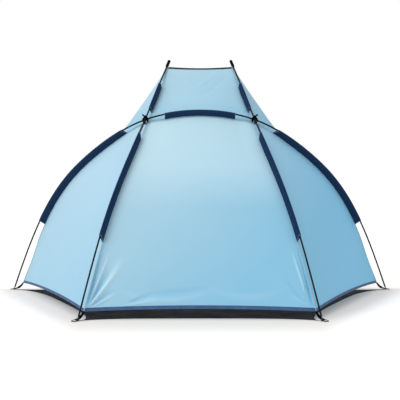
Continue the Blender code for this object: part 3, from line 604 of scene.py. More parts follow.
def paintedLightShare(given):
    # the share of painted light or shade: Object coordinates dotted with a direction, plus a start, between 0 and 1
    vectors = {0: given["Vector"], 1: given["Way"]}
    dot = add(given["Way"], "VectorMath", vectors, operation="DOT_PRODUCT").outputs["Value"]
    return ranged(calc("ADD", dot, given["Start"]), {})


def newGroup(make, output, **inputs):
    # a node group of a vector and the named values, a plain number or a vector each
    tree = bpy.data.node_groups.new(make.__name__, "ShaderNodeTree")
    for label, value in {"Vector": (0, 0, 0), **inputs}.items():
        kind = "NodeSocketFloat" if isinstance(value, float) else "NodeSocketVector"
        tree.interface.new_socket(label, in_out="INPUT", socket_type=kind).default_value = value
    tree.interface.new_socket(output, in_out="OUTPUT", socket_type="NodeSocketFloat")
    put(tree.nodes.new("NodeGroupOutput"), {output: make(tree.nodes.new("NodeGroupInput").outputs)})
    return tree


shared = {
    "fade": newGroup(paintedLightShare, "Share", Way=(0, 0, 1), Start=0.0),
    "weave": newGroup(plainWeave, "Height", Threads=2400.0, Ripstop=0.0),
    "rib": newGroup(diagonalRib, "Height", Ribs=900.0, Slant=1.0),
    "stitch": newGroup(stitchRow, "Mask", Place=0.003, Pitch=0.0035, Width=0.0008),
    "band": newGroup(edgeBand, "Mask", Width=0.010),
    "cloudy": newGroup(cloudy, "Value", Scale=6.0, Low=0.0, High=1.0),
}


def group(name, vector, **inputs):
    return add(vector, "Group", {"Vector": vector, **inputs}, node_tree=shared[name]).outputs[0]


def startMaterial(name, **constants):
    material = bpy.data.materials.new(name)
    material.use_nodes = True
    shader = material.node_tree.nodes["Principled BSDF"]
    return material, put(shader, {key.replace("_", " "): value for key, value in constants.items()})


def uvMap(shader, name="metres"):
    return add(shader, "UVMap", uv_map=name).outputs[0]


def objectSpot(shader):
    return add(shader, "TexCoord").outputs["Object"]


def blendColours(share, first, second):
    # the first colour at share 0, the second at share 1
    colours = {key: (*value, 1) if isinstance(value, tuple) else value for key, value in ((6, first), (7, second))}
    return add(share, "Mix", {0: share, **colours}, data_type="RGBA").outputs[2]


def paint(shader, colour, *layers):
    # the shader's colour, and its relief from Bump nodes in a chain, each a (height, distance, strength)
    chain = {}
    for height, distance, strength in layers:
        values = {"Height": height, "Distance": distance, "Strength": strength, **chain}
        chain = {"Normal": add(shader, "Bump", values).outputs[0]}
    put(shader, {"Base Color": colour, **chain})


def makeRibbed(name, look, operation=None, **constants):
    # ribs on one slant, or on both, combined by a Math operation; they colour the cloth and raise it
    material, shader = startMaterial(name, **constants)
    slants = (1.0, -1.0) if operation else (1.0,)
    heights = [group("rib", uvMap(shader), Ribs=look["ribs"], Slant=slant) for slant in slants]
    height = calc(operation, *heights) if operation else heights[0]
    paint(shader, blendColours(height, *look["colours"]), (height, *look["relief"]))
    return material


def makeGrained(name, look, **constants):
    # fine noise colours the material and raises it, and soft patches vary its gloss
    material, shader = startMaterial(name, **constants)
    spot = objectSpot(shader)
    grain = noise(spot, *look["grain"])
    scale, least, most = look["patches"]
    put(shader, {"Roughness": group("cloudy", spot, Scale=scale, Low=least, High=most)})
    paint(shader, blendColours(grain, *look["colours"]), (grain, *look["relief"]))
    return material


# Cloth panels

# the first direction and start, as in the group, give the share of painted light, paler where the lamp falls; the
# second those of a further colour, painted light or shade on part of a panel. A ridge has its painted highlight and a
# valley its painted shade, each a colour and its greatest share.
clothLook = {
    "deep": linear(137, 196, 226),
    "pale": linear(179, 213, 228),
    "litSideWay": (-0.55, 0.0, 0.80),  # painted light: paler up high and on the left, where the lamp falls
    "litSideStart": 0.04,
    "cloudScale": 3.5,
    "cloudShare": 0.08,
    "seam": linear(132, 186, 214),
    "thread": linear(112, 168, 200),
    "threads": 2200.0,
    "seamBand": 0.011,
    "stitchPlaces": (0.0025, 0.0090),
    "slubScale": 180.0,
    "thickness": 0.0008,
}
panelLook = {
    # rear: painted light paler to the upper left, a painted highlight high up, and painted highlight and shade along
    # its creases
    "rear": {"litSideWay": (-0.75, 0.0, 0.80), "patch": linear(206, 236, 246), "paintedPatchWay": (0.0, 0.0, 5.0),
             "paintedPatchStart": -2.6, "paintedPatchMost": 0.40, "creasePaintFull": 0.010,
             "valley": (linear(100, 172, 216), 0.45), "ridge": (linear(200, 234, 249), 0.8)},
    # side: a painted shade, deeper and bluer, on the right-hand wall, and a paler painted lit tone
    "side": {"pale": linear(180, 214, 232), "patch": linear(141, 211, 249), "paintedPatchWay": (1.8, 0.0, 0.0),
             "paintedPatchStart": -0.45, "paintedPatchMost": 0.85},
    # roof, and the wings with it: a painted shade low down
    "roof": {"litSideStart": -0.24, "patch": linear(116, 182, 218), "paintedPatchWay": (0.0, 0.0, -5.0),
             "paintedPatchStart": 5.3, "paintedPatchMost": 0.45},
}


def makeSkyCloth(name):
    look = {**clothLook, **panelLook[name]}
    material, shader = startMaterial(name + "SkyCloth", Roughness=0.66, Specular_IOR_Level=0.08, Sheen_Weight=0.04,
                                     Sheen_Roughness=0.5)
    edge, spot = uvMap(shader, "edge"), objectSpot(shader)
    weave = group("weave", uvMap(shader), Threads=look["threads"], Ripstop=0.0)
    hem = group("band", edge, Width=look["seamBand"])
    sewn = calc("MAXIMUM", *(group("stitch", edge, Place=p, Pitch=0.0032, Width=0.0007) for p in look["stitchPlaces"]))
    # painted light: the share of the lit tone towards the upper left, and a further painted light or shade on part of
    # each panel
    litShare = group("fade", spot, Way=look["litSideWay"], Start=look["litSideStart"])
    patch = group("fade", spot, Way=look["paintedPatchWay"], Start=look["paintedPatchStart"])
    cloud = group("cloudy", spot, Scale=look["cloudScale"])
    # the cloth's tone, varied at random in soft patches and by painted light
    colour = blendColours(calc("MULTIPLY_ADD", cloud, look["cloudShare"], litShare), look["deep"], look["pale"])
    # by panel a painted highlight (rear) or a painted shade (side, roof and wings) over part of it
    colour = blendColours(times(patch, look["paintedPatchMost"]), colour, look["patch"])
    if "creasePaintFull" in look:
        # painted highlight on ridges and painted shade in valleys, by the crease's height and depth in metres
        ridge, valley, _ = xyz(uvMap(shader, "crease"))
        for height, (other, most) in ((valley, look["valley"]), (ridge, look["ridge"])):
            share = ranged(height, {"From Max": look["creasePaintFull"], "To Max": most})
            colour = blendColours(share, colour, other)
    colour = blendColours(times(hem, 0.25), colour, look["seam"])
    colour = blendColours(times(sewn, 0.8), colour, look["thread"])
    slub = group("cloudy", spot, Scale=look["slubScale"])
    paint(shader, colour, (hem, 0.0004, 0.6), (slub, 0.0003, 0.35), (weave, 0.00006, 0.5),
          (times(sewn, -1.0), 0.0004, 0.6))
    return material


skyCloth = {name: makeSkyCloth(name) for name in panelLook}
skyCloth["wing"] = skyCloth["roof"]

# "size" is a grid's rows and columns, "sewn" its edges along seams and "towards" a point outside. "pucker" is the
# height, reach and seed of the short waves beside seams, and "hem" how far from the free edge they begin. "waves" is
# the height and seed of the slow waves, and "calm" how far from seams and from the free edge they reach full height.
panelShape = {
    "rear": {"size": (176, 166), "sewn": ("left", "right", "top"), "towards": (0, -3, 1.5),
             "pucker": (0.0012, 0.022, 1.3), "hem": 0.016, "waves": (0.0012, 0.7), "calm": (0.1, 0.1)},
    "side": {"size": (110, 90), "sewn": ("left", "right"), "towards": (-3, -1, 1.0),
             "pucker": (0.0010, 0.020, 2.9), "hem": 0.016, "waves": (0.0016, 2.1), "calm": (0.1, 0.1)},
    "roof": {"size": (100, 60), "sewn": ("left", "right", "top"), "towards": (0, -1, 3),
             "pucker": (0.0010, 0.020, 4.1), "hem": 0.008, "waves": (0.0014, 5.0), "calm": (0.06, 0.06)},
    "wing": {"size": (110, 80), "sewn": ("left", "bottom"), "towards": (-2, 1, 2),
             "pucker": (0.0009, 0.018, 6.3), "hem": 0.0, "waves": (0.0015, 3.3), "calm": (0.08, 0.05)},
}
# Creases. "left" and "right", at the rear wall's corners: from a point to a point, as metres out from the corner and
# up, then how far they bow aside, the height (below 0 a valley) and the width at each end
folds = {
    "left": ((0.016, 0.030, 0.091, 0.330, 0.000, -0.0090, 0.008, 0.018),
             (0.025, 0.040, 0.119, 0.280, 0.000, 0.0100, 0.004, 0.008),
             (0.031, 0.045, 0.124, 0.205, 0.000, -0.0080, 0.005, 0.014),
             (0.024, 0.024, 0.182, 0.250, -0.010, 0.0110, 0.004, 0.019),
             (0.036, 0.025, 0.146, 0.101, 0.000, -0.0050, 0.004, 0.010),
             (0.040, 0.020, 0.157, 0.083, 0.000, 0.0060, 0.003, 0.009),
             (0.210, 0.038, 0.350, 0.088, 0.000, -0.0050, 0.006, 0.011),
             (0.205, 0.026, 0.350, 0.050, 0.000, 0.0040, 0.005, 0.010),
             (0.330, 0.078, 0.620, 0.100, 0.000, -0.0035, 0.010, 0.014)),
    "right": ((0.014, 0.026, 0.074, 0.330, 0.000, -0.0090, 0.007, 0.012),
              (0.048, 0.085, 0.103, 0.275, 0.000, 0.0080, 0.003, 0.006),
              (0.050, 0.040, 0.150, 0.160, 0.000, -0.0030, 0.006, 0.014),
              (0.040, 0.030, 0.130, 0.075, 0.000, 0.0020, 0.004, 0.010)),
    # the middle, how far up, the length, height and width
    "hem": ((-0.16, 0.040, 0.32, 0.0026, 0.014), (0.22, 0.056, 0.26, 0.0018, 0.016)),
    "sideLength": 0.34,
    "sideStart": 0.006,  # the width at the corner, to which each crease's own is added along it
    "side": (("rear", (-0.25, 0.45, 0.85), 0.0035, 0.016), ("rear", (-0.35, 0.75, 0.55), -0.0028, 0.016),
             ("front", (0.35, -0.45, 0.80), 0.0030, 0.014), ("front", (0.40, -0.80, 0.45), 0.0024, 0.014)),
    "roof": ((0.03, 1.17, 0.75, 0.0022, 0.012), (0.075, 1.14, 0.9, -0.0020, 0.014), (-0.07, 1.19, -0.8, 0.0014, 0.014)),
    "roofLength": 0.07,
    "wing": ((0.022, 0.0016), (0.050, -0.0014), (0.085, 0.0012)),  # from the free edge, height
    "wingWidth": 0.012,
}


def cornerFolds(grid, corner, across, creases):
    # for each crease a bell across its line times a half sine along it
    out, up = (grid - corner)[..., 0] * across, (grid - corner)[..., 2]
    lift = np.zeros(out.shape)
    for fromOut, fromUp, toOut, toUp, bow, height, first, last in creases:
        span = math.hypot(toOut - fromOut, toUp - fromUp)
        x, z = (toOut - fromOut) / span, (toUp - fromUp) / span
        t = np.clip(((out - fromOut) * x + (up - fromUp) * z) / span, 0, 1)
        off = (up - fromUp) * x - (out - fromOut) * z - 4 * t * (1 - t) * bow
        lift += height * arch(t ** 0.6) * bump(off, first + (last - first) * t)
    return lift


def coons(left, right, bottom, top, v, u):
    # the Coons patch of four edges: blend of the sides, plus blend of the ends, minus that of the corners
    v, u = v[:, None, None], u[None, :, None]
    corners = (1 - u) * (1 - v) * bottom[0] + u * (1 - v) * bottom[-1] + (1 - u) * v * top[0] + u * v * top[-1]
    return (1 - u) * left[:, None] + u * right[:, None] + (1 - v) * bottom[None] + v * top[None] - corners


def bowed(start, end, t, bow):
    # a straight line plus 4t(1 - t) times a vector
    t = t[:, None]
    return start + (end - start) * t + 4 * t * (1 - t) * np.array(bow)


def edgeMap(grid, sides):
    # first the distance along, then the distance from the nearest of the named edges, both in metres
    u, v = lengths(grid, 1), lengths(grid, 0)
    toEdge = {"left": (v, u), "right": (v, u[:, -1:] - u), "bottom": (u, v), "top": (u, v[-1:] - v)}
    along, off = toEdge[sides[0]]
    for name in sides[1:]:
        a, d = toEdge[name]
        along, off = np.where(d < off, a, along), np.minimum(d, off)
    return np.stack([along, off], -1)


def rearEdges(v, u):
    # each panel's left, right, bottom and top edge, at shares v and u of the way along them
    left = sideSeam(rearAt + (sideCross - rearAt) * v)
    bottom = bowed(rearCorner, mirrored(rearCorner), u, (0, seamShape["hemInset"], seamShape["hemRise"]))
    return left, mirrored(left), bottom, hoopSeam(hoopCross + (hoopEnd - 2 * hoopCross) * u)


def sideEdges(v, u):
    rear, front = sideSeam(rearAt + (sideCross - rearAt) * v), hoopSeam(frontAt + (hoopCross - frontAt) * v)
    bottom = bowed(rearCorner, frontCorner, u, (0, 0, seamShape["sideHemRise"]))
    return rear, front, bottom, np.repeat(meeting[None], len(u), axis=0)


def roofEdges(v, u):
    # its bottom edge is the free front one
    left = sideSeam(roofAt + (sideCross - roofAt) * v)
    front = bowed(roofCorner, mirrored(roofCorner), u, (0, 0, -seamShape["roofSag"]))
    return left, mirrored(left), front, hoopSeam(hoopCross + (hoopEnd - 2 * hoopCross) * u)


def wingEdges(v, u):
    # its right edge is the free one, from the tip down to the foot
    legs, free = hoopSeam(hoopCross + (frontAt - hoopCross) * v), bowed(roofCorner, frontCorner, v, (0, 0, 0))
    return legs, free, sideSeam(sideCross + (roofAt - sideCross) * u), np.repeat(frontCorner[None], len(u), axis=0)


def rearCreases(grid, off, over):
    # each panel's creases, by the distance off its seams and over its free edge
    lift = cornerFolds(grid, grid[0, 0], 1, folds["left"]) + cornerFolds(grid, grid[0, -1], -1, folds["right"])
    for middle, height, length, size, width in folds["hem"]:
        # a long low fold just over the hem, which dips towards its ends
        dip = height + 0.35 * (grid[..., 0] - middle) ** 2 / length
        lift += size * bump(over - dip, width) * bump(grid[..., 0] - middle, length * 0.6)
    return lift * fade(over - 0.017, 0.012) * fade(off, 0.006)


def sideCreases(grid, off, over):
    lift = 0
    for row, aim, height, width in folds["side"]:
        # out of a lower corner: a half sine along it times a bell beside it
        away, way = grid - feet[row][1], unit(np.array(aim))
        along = away @ way
        beside = np.linalg.norm(away - along[..., None] * way, axis=-1)
        t = np.clip(along / folds["sideLength"], 0, 1)
        lift = lift + height * arch(t) * bump(beside, folds["sideStart"] + width * t)
    return lift * fade(off, 0.02) * fade(over - 0.014, 0.03)


def roofCreases(grid, off, over):
    # slanting: a bell across the line z - z0 = slope (x - x0)
    x, z = grid[..., 0], grid[..., 2]
    lift = sum(height * bump(z - z0 - slope * (x - x0), width) * bump(x - x0, folds["roofLength"])
               for x0, z0, slope, height, width in folds["roof"])
    return lift * fade(off, 0.03) * fade(over - 0.008, 0.04)


def wingCreases(grid, off, toFree):
    # pull lines that run beside the free edge from the tip to the foot
    down = np.linspace(0, 1, len(grid))[:, None]
    return sum(height * bump(toFree - at, folds["wingWidth"]) for at, height in folds["wing"]) * arch(down) ** 0.8


def makePanel(name, edges, creases):
    # the patch between its edges, lifted square to itself by creases, by puckers beside the seams and by slow waves
    shape = panelShape[name]
    v, u = (np.linspace(0, 1, count) for count in shape["size"])
    if name == "rear":  # rows closer towards the hem and columns towards both sides, where the creases are
        v, u = v * (0.5 + 0.5 * v), u - 0.55 * np.sin(math.tau * u) / math.tau
    grid = coons(*edges(v, u), v, u)
    seams = edgeMap(grid, shape["sewn"])
    off, across, free = seams[..., 1], lengths(grid, 1), lengths(grid, 0)
    maps = {"edge": seams}
    if name == "wing":
        free = across[:, -1:] - across
        maps["edge"] = np.where((free < off)[..., None], np.stack([lengths(grid, 0), free], -1), seams)
    lift = creases(grid, off, free)
    if name == "rear":
        maps["crease"] = np.stack([np.maximum(lift, 0), np.maximum(-lift, 0)], -1)
    # puckers: sines of unlike lengths along the seam, which fade as e^(-distance / reach)
    height, reach, seed = shape["pucker"]
    short = sum(np.sin(seams[..., 0] * math.tau / (0.017 + 0.011 * k) + seed * (k + 1.7)) for k in range(3)) / 3
    lift = lift + height * short * np.exp(-off / reach) * fade(off, 0.003) * fade(free - shape["hem"], 0.02)
    # slow waves over the whole panel, as cloth under uneven pull has
    height, seed = shape["waves"]
    x, z = grid[..., 0], grid[..., 2]
    slow = (np.sin(7.1 * x + 3.3 * z + seed) + np.sin(4.3 * x - 8.9 * z + 2 * seed)
            + 0.5 * np.sin(13.7 * x + 9.1 * z + 3 * seed)) / 2.5
    lift = lift + height * slow * fade(off, shape["calm"][0]) * fade(free, shape["calm"][1])
    normal = unit(np.cross(np.gradient(grid, axis=1), np.gradient(grid, axis=0)))
    middle = grid.shape[0] // 2, grid.shape[1] // 2
    outwards = np.sign(normal[middle] @ (np.array(shape["towards"]) - grid[middle]))
    return grid + outwards * normal * lift[..., None], maps


def flatArea(grid):
    # the area of the grid's cells, from the cross products of their diagonals
    crossed = np.cross(grid[1:, 1:] - grid[:-1, :-1], grid[1:, :-1] - grid[:-1, 1:])
    return float(np.linalg.norm(crossed, axis=-1).sum() / 2)


panels, panelPieces = {}, {}
for label, node, edges, creases in (
        ("rear", "rear_wall", rearEdges, rearCreases), ("side", "side_wall_left", sideEdges, sideCreases),
        ("roof", "roof_panel", roofEdges, roofCreases), ("wing", "wing_left", wingEdges, wingCreases)):
    panels[node], maps = makePanel(label, edges, creases)
    made = sheets(node, "Cloth", panels[node], clothLook["thickness"], skyCloth[label], "sky_cloth", maps)
    panelPieces.update(zip(pair(node), made))
print("cloth panels:", len(panelPieces))


# Sleeves

sleeveShape = {
    "radius": 0.0063,
    "lift": 0.0009,
    "halfGap": 0.00065,
    "thickness": 0.0008,
    "hoopShares": (0.358, 0.893),
    "crownShare": 0.652,
    "lowerShares": (0.357, 0.904),
    "upperShares": (0.163, 0.597),
    "slants": {"hoop_sleeve_left": (0.014, 0.021), "hoop_sleeve_crown": (0.007, 0.007),
               "side_sleeve_lower_left": (0.019, -0.012), "side_sleeve_upper_left": (0.005, 0.003)},
    "slantReach": 0.06,
    "gather": 0.0004,
    "belly": 0.0010,
    "hem": 0.009,
}
navyLook = {
    "hoop": (linear(21, 48, 79), linear(46, 76, 110)),
    "side": (linear(6, 38, 74), linear(32, 64, 104)),  # the side poles' sleeves: painted shade, a darker, less red copy of the hoop sleeves' colour
    # painted highlight along the sleeves' open ends
    "endHighlight": linear(150, 176, 204),
}


def makeNavyTwill(pole):
    dark, light = navyLook[pole]
    material, shader = startMaterial(pole + "NavyTwill", Roughness=0.75, Specular_IOR_Level=0.10, Sheen_Weight=0.04,
                                     Sheen_Roughness=0.4)
    metres, edge = uvMap(shader), uvMap(shader, "edge")
    rib, coarse = (group("rib", metres, Ribs=ribs, Slant=slant) for ribs, slant in ((800.0, 1.0), (110.0, 0.8)))
    patch = group("cloudy", objectSpot(shader), Scale=14.0, High=0.5)
    hem = group("band", edge, Width=sleeveShape["hem"])
    rim = group("band", edge, Width=0.0018)
    sewn = group("stitch", edge, Place=0.007, Pitch=0.003, Width=0.0007)
    streak = times(calc("POWER", coarse, 3.0), 0.30)
    colour = blendColours(calc("MULTIPLY_ADD", patch, 0.25, streak), dark, light)
    colour = blendColours(sewn, colour, light)
    # painted highlight: a pale rim along the sleeve's open ends
    colour = blendColours(times(rim, 0.7), colour, navyLook["endHighlight"])
    paint(shader, colour, (hem, 0.0005, 0.7), (coarse, 0.0005, 0.35), (rib, 0.0001, 0.6))
    return material


# the side poles' copy is darker and less red: painted shade
navyTwill = {pole: makeNavyTwill(pole) for pole in ("hoop", "side")}


def makeSleeve(name, line, seam, start, end, seed):
    shape = sleeveShape
    s = np.linspace(start, end, int((end - start) / 0.0035))
    base, way = seam(s), heading(line, s)
    off = place(line, s) - base
    up, reach = unit(off), np.linalg.norm(off, axis=-1)
    aside = unit(np.cross(way, up))
    x, y = teardrop(reach, shape["radius"], shape["lift"], shape["halfGap"], 15)
    along, high = (s - start)[:, None], y / reach[:, None]
    left = end - start - along
    # gathers: slanting waves that are strongest between the rod and the seam, so the cloth bulges and dips there
    wave = (np.sin((along + 0.6 * y) * math.tau / 0.019 + seed)
            + 0.7 * np.sin((along - 0.5 * y) * math.tau / 0.031 + 2 * seed))
    belly = arch(high) * fade(along, 0.012) * fade(left, 0.012)
    out = np.sign(x) * np.clip(np.abs(x) / 0.003, 0, 1)
    grid = carried(base, aside, up, x + out * belly * (shape["gather"] * wave + shape["belly"]), y)
    # the open ends slant: the seam's side reaches farther than the rod's by the sleeve's own two lengths
    first, last = shape["slants"][name]
    ends = last * smooth(1 - left / shape["slantReach"]) - first * smooth(1 - along / shape["slantReach"])
    grid = grid + way[:, None] * ((1 - np.clip(high, 0, 1)) * ends)[..., None]
    across = lengths(grid, 1)
    return grid, {"metres": np.stack([lengths(grid, 0), across], -1),
                  "edge": np.stack([across, np.minimum(along, left) + 0 * y], -1)}


crownHalf = sleeveShape["crownShare"] * (hoopEnd / 2 - hoopCross)
sleevePieces = []
for node, line, seam, ends, seed in (
        ("hoop_sleeve_left", hoop, hoopSeam, [k * hoopCross for k in sleeveShape["hoopShares"]], 0.4),
        ("hoop_sleeve_crown", hoop, hoopSeam, (hoopEnd / 2 - crownHalf, hoopEnd / 2 + crownHalf), 1.9),
        ("side_sleeve_lower_left", side, sideSeam, [k * sideCross for k in sleeveShape["lowerShares"]], 3.0),
        ("side_sleeve_upper_left", side, sideSeam,
         [sideCross + k * (sideEnd - sideCross) for k in sleeveShape["upperShares"]], 4.2)):
    grid, maps = makeSleeve(node, line, seam, *ends, seed)
    flat = round(ends[1] - ends[0], 4), round(float(lengths(grid, 1)[:, -1].mean()) * 1.02, 4)
    for piece in sheets(node, "Cloth", grid, sleeveShape["thickness"], navyTwill[node[:4]], "navy_cloth", maps):
        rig.sheet(piece, flat=flat, held="stretched")
        sleevePieces.append(piece)
print("sleeves:", len(sleevePieces))


# Edge binding

bindingShape = {"leaf": 0.00105, "thickness": 0.0006, "rearDepth": 0.016, "sideDepth": 0.012, "roofDepth": 0.009,
                "roofPast": 0.0045, "endInset": 0.001, "waves": ((0.00025, 0.021), (0.0002, 0.013))}
bindingLook = {  # colour, shade, thread
    "hemTape": (linear(72, 102, 146), linear(56, 82, 122), linear(40, 60, 96)),
    "edgeTape": (linear(12, 26, 40), linear(8, 18, 30), linear(30, 42, 60)),
}


def makeBindingTape(name):
    colour, shade, thread = bindingLook[name]
    material, shader = startMaterial(name, Roughness=0.68, Specular_IOR_Level=0.2, Sheen_Weight=0.05)
    ribs = ripple(xyz(uvMap(shader))[0], math.tau * 900)
    sewn = group("stitch", uvMap(shader, "edge"), Place=0.0022, Pitch=0.0032, Width=0.0008)
    tint = blendColours(group("cloudy", objectSpot(shader), Scale=25.0, High=0.8), colour, shade)
    paint(shader, blendColours(times(sewn, 0.8), tint, thread), (ribs, 0.0002, 0.5), (times(sewn, -1.0), 0.0004, 0.7))
    return material


hemTape, edgeTape = (makeBindingTape(name) for name in bindingLook)


def makeBinding(grid, depth, past):
    # a U carried along the panel's first row: out leaf down, half circle beyond the edge by past, in leaf up
    leaf, inset, line = bindingShape["leaf"], bindingShape["endInset"], grid[0]
    along = unit(np.gradient(line, axis=0))
    up = squareTo(grid[int(np.argmax(lengths(grid, 0).mean(1) > 0.8 * depth))] - line, along)
    total = lengths(line, 0)
    keep = (total > inset) & (total < total[-1] - inset)
    angle = np.linspace(0, math.pi, 7)
    heights = np.linspace(depth, -past, 5)[:-1]
    x = np.concatenate([np.full(4, leaf), leaf * np.cos(angle), np.full(4, -leaf)])
    y = np.concatenate([heights, -past - leaf * np.sin(angle), heights[::-1]])
    # small waves where the tape is drawn tight by its thread
    wave = sum(height * np.sin(total * math.tau / pitch + k) for k, (height, pitch) in enumerate(bindingShape["waves"]))
    swell = np.sign(x) * wave[:, None] * arch(y / depth)
    found = carried(line, unit(np.cross(along, up)), up, x + swell, y)
    across = lengths(found, 1)
    run = total[:, None] + 0 * across
    return found[keep], {"metres": np.stack([run, across], -1)[keep],
                         "edge": np.stack([run, depth - y + 0 * across], -1)[keep]}


bindings = {}  # each bound panel's tape
for node, panel, depth, past, tape, slot in (
        ("rear_hem_binding", "rear_wall", bindingShape["rearDepth"], 0, hemTape, "blue_binding"),
        ("side_hem_binding_left", "side_wall_left", bindingShape["sideDepth"], 0, hemTape, "blue_binding"),
        ("roof_edge_binding", "roof_panel", bindingShape["roofDepth"], bindingShape["roofPast"], edgeTape,
         "navy_cloth")):
    grid, maps = makeBinding(panels[panel], depth, past)
    bindings.update(zip(pair(panel), sheets(node, "Tape", grid, bindingShape["thickness"], tape, slot, maps)))
for name, grid in panels.items():
    u, v = float(lengths(grid, 1)[:, -1].max()), float(lengths(grid, 0)[-1].max())
    for node in pair(name):
        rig.sheet(panelPieces[node], flat=(round(u, 3), round(v, 3)), area=round(flatArea(grid), 4), held="stretched",
                 rests_on=["hoop_section_3"], with_pieces=[bindings[node]] if node in bindings else [])
print("bindings:", len(bindings))


# Seam ribs: the turned-in edges of the panels, felled to a flat cord

ribShape = {"halfWidth": 0.0013, "halfHeight": 0.0022, "ridge": 0.12, "pitch": 0.011}
ribLook = {"ribs": 500.0, "colours": (linear(150, 200, 226), linear(168, 208, 228)), "relief": (0.0002, 0.6)}


def makeSeamRibs():
    grids = []
    for line, seam, start, end in ((side, sideSeam, rearAt + 0.004, roofAt - 0.006),
                                   (hoop, hoopSeam, frontAt + 0.004, hoopEnd / 2)):
        s = np.linspace(start, end, int((end - start) / 0.006))
        inwards = pull(line, s)
        x, y = circle(1 + ribShape["ridge"] * np.sin(s * math.tau / ribShape["pitch"]), 12)
        grid = capped(carried(seam(s), unit(np.cross(heading(line, s), inwards)), inwards,
                              ribShape["halfWidth"] * x, ribShape["halfHeight"] * y))
        grids += [grid, mirrored(grid)]
    return joinedMesh("seamRibs", grids)


ribCloth = makeRibbed("ribCloth", ribLook, Roughness=0.65, Sheen_Weight=0.2)
newPiece("seamRibs", makeSeamRibs(), ribCloth, "sky_cloth")


# Poles

poleShape = {
    "radius": 0.00425,
    "bore": 0.00285,
    "chamfer": 0.0004,
    "hoopSections": 6,
    "sideSections": 3,
    "gap": 0.0005,
    "ferruleRadius": 0.0054,
    "ferruleBore": 0.0046,
    "ferruleChamfer": 0.0003,
    "ferruleReach": 0.035,
    "groove": 0.00045,
    "foot": 0.014,
    "cord": 0.00125,
    "pinDepth": 0.036,
}
fibreglassLook = (linear(5, 10, 13), linear(18, 26, 32))
steelLook = {"grain": (900.0, 3.0), "relief": (0.00004, 0.35)}
ferruleLook = {**steelLook, "colours": (linear(34, 38, 41), linear(72, 77, 82)), "patches": (70.0, 0.39, 0.58)}
wireLook = {**steelLook, "colours": (linear(44, 45, 47), linear(98, 99, 102)), "patches": (70.0, 0.35, 0.54)}
ringLook = {**steelLook, "colours": (linear(9, 10, 11), linear(30, 31, 34)), "patches": (70.0, 0.43, 0.62)}
elasticLook = {"ribs": 700.0, "colours": (linear(18, 18, 19), linear(52, 52, 55)), "relief": (0.0002, 0.7)}


def makeFibreglass():
    # strands: noise drawn out along the pole
    material, shader = startMaterial("fibreglass", Roughness=0.5, Specular_IOR_Level=0.12)
    stretched = add(shader, "Mapping", {"Vector": uvMap(shader), "Scale": (900.0, 9.0, 1.0)}).outputs[0]
    strands = noise(stretched, 1.0, 3.0)
    patch = group("cloudy", objectSpot(shader), Scale=20.0, High=0.6)
    share = calc("MULTIPLY_ADD", strands, 0.6, times(patch, 0.3))
    paint(shader, blendColours(share, *fibreglassLook), (strands, 0.0001, 0.25))
    return material


fibreglass = makeFibreglass()
ferruleSteel = makeGrained("ferruleSteel", ferruleLook, Metallic=1.0, Specular_IOR_Level=0.2)
wireSteel = makeGrained("wireSteel", wireLook, Metallic=1.0, Specular_IOR_Level=0.2)
ringSteel = makeGrained("ringSteel", ringLook, Metallic=0.3, Specular_IOR_Level=0.2)
elastic = makeRibbed("elastic", elasticLook, "MAXIMUM", Roughness=0.85)


def tubeProfile(start, end, radius, bore, chamfer, grooves=()):
    # down the outside, with its grooves, and back up the bore, with a small chamfer at each rim
    steps = max(2, int((end - start) / 0.012))
    s = np.unique(np.concatenate([np.linspace(start + chamfer, end - chamfer, steps),
                                  *[np.linspace(g - 0.0022, g + 0.0022, 9) for g in grooves]]))
    r = radius - sum((poleShape["groove"] * bump(s - g, 0.0008) for g in grooves), 0 * s)
    rim = (start, radius - chamfer)
    return [rim, *zip(s, r), (end, radius - chamfer), *[(k, bore) for k in np.linspace(end, start, steps)], rim]


def makePoles():
    shape = poleShape
    for line, end, count, name, last in ((hoop, hoopEnd, shape["hoopSections"], "hoop", hoopEnd - shape["foot"]),
                                         (side, sideEnd, shape["sideSections"], "side_pole_left", sideEnd)):
        joints = np.linspace(0, end, count + 1)
        for i in range(count):
            low = shape["foot"] if i == 0 else joints[i] + shape["gap"] / 2
            high = last if i == count - 1 else joints[i + 1] - shape["gap"] / 2
            profile = tubeProfile(low, high, shape["radius"], shape["bore"], shape["chamfer"])
            solids(f"{name}_section_{i + 1}", onPole(line, profile, 20), fibreglass, "fibreglass")
            if i > 0:
                low, high = joints[i] - shape["ferruleReach"], joints[i] + shape["ferruleReach"]
                profile = tubeProfile(low, high, shape["ferruleRadius"], shape["ferruleBore"], shape["ferruleChamfer"],
                                      (low + 0.006, high - 0.006, high - 0.010))
                solids(f"{name}_ferrule_{i}", onPole(line, profile, 24), ferruleSteel, "steel")


def makeCords():
    # from the end of the pin in a foot to the same at the other foot, or to the pole's tip
    start = poleShape["foot"] + poleShape["pinDepth"] + 0.0003
    for line, end, name in ((hoop, hoopEnd - start, "hoop_shock_cord"), (side, sideEnd, "side_shock_cord_left")):
        s = np.linspace(start, end, int((end - start) / 0.012))
        profile = [(s[0], 0.0), *[(k, poleShape["cord"]) for k in s], (s[-1], 0.0)]
        solids(name, onPole(line, profile, 10), elastic, "elastic")


makePoles()
makeCords()
print("poles, ferrules and cords made")


# Tip caps and the webbing loops under them

capShape = {"radius": 0.0085, "bore": 0.0049, "length": 0.048, "depth": 0.036, "ribs": 5, "ribDepth": 0.00055,
            "dome": 0.006, "domeFlat": 0.30}
capLook = {"grain": (2600.0, 2.0), "patches": (160.0, 0.38, 0.62), "relief": (0.00008, 0.5),
           "colours": (linear(1, 1, 2), linear(7, 8, 10))}
loopShape = {"width": 0.010, "thickness": 0.0011, "radius": 0.0056, "lift": 0.0004, "halfGap": 0.0007}
webbingLook = {"ribs": 620.0, "colours": (linear(4, 8, 13), linear(18, 26, 34)), "relief": (0.0003, 0.8)}

mouldedBlack = makeGrained("mouldedBlack", capLook, Specular_IOR_Level=0.02)
webbing = makeRibbed("webbing", webbingLook, "MULTIPLY", Roughness=0.85, Specular_IOR_Level=0.05)


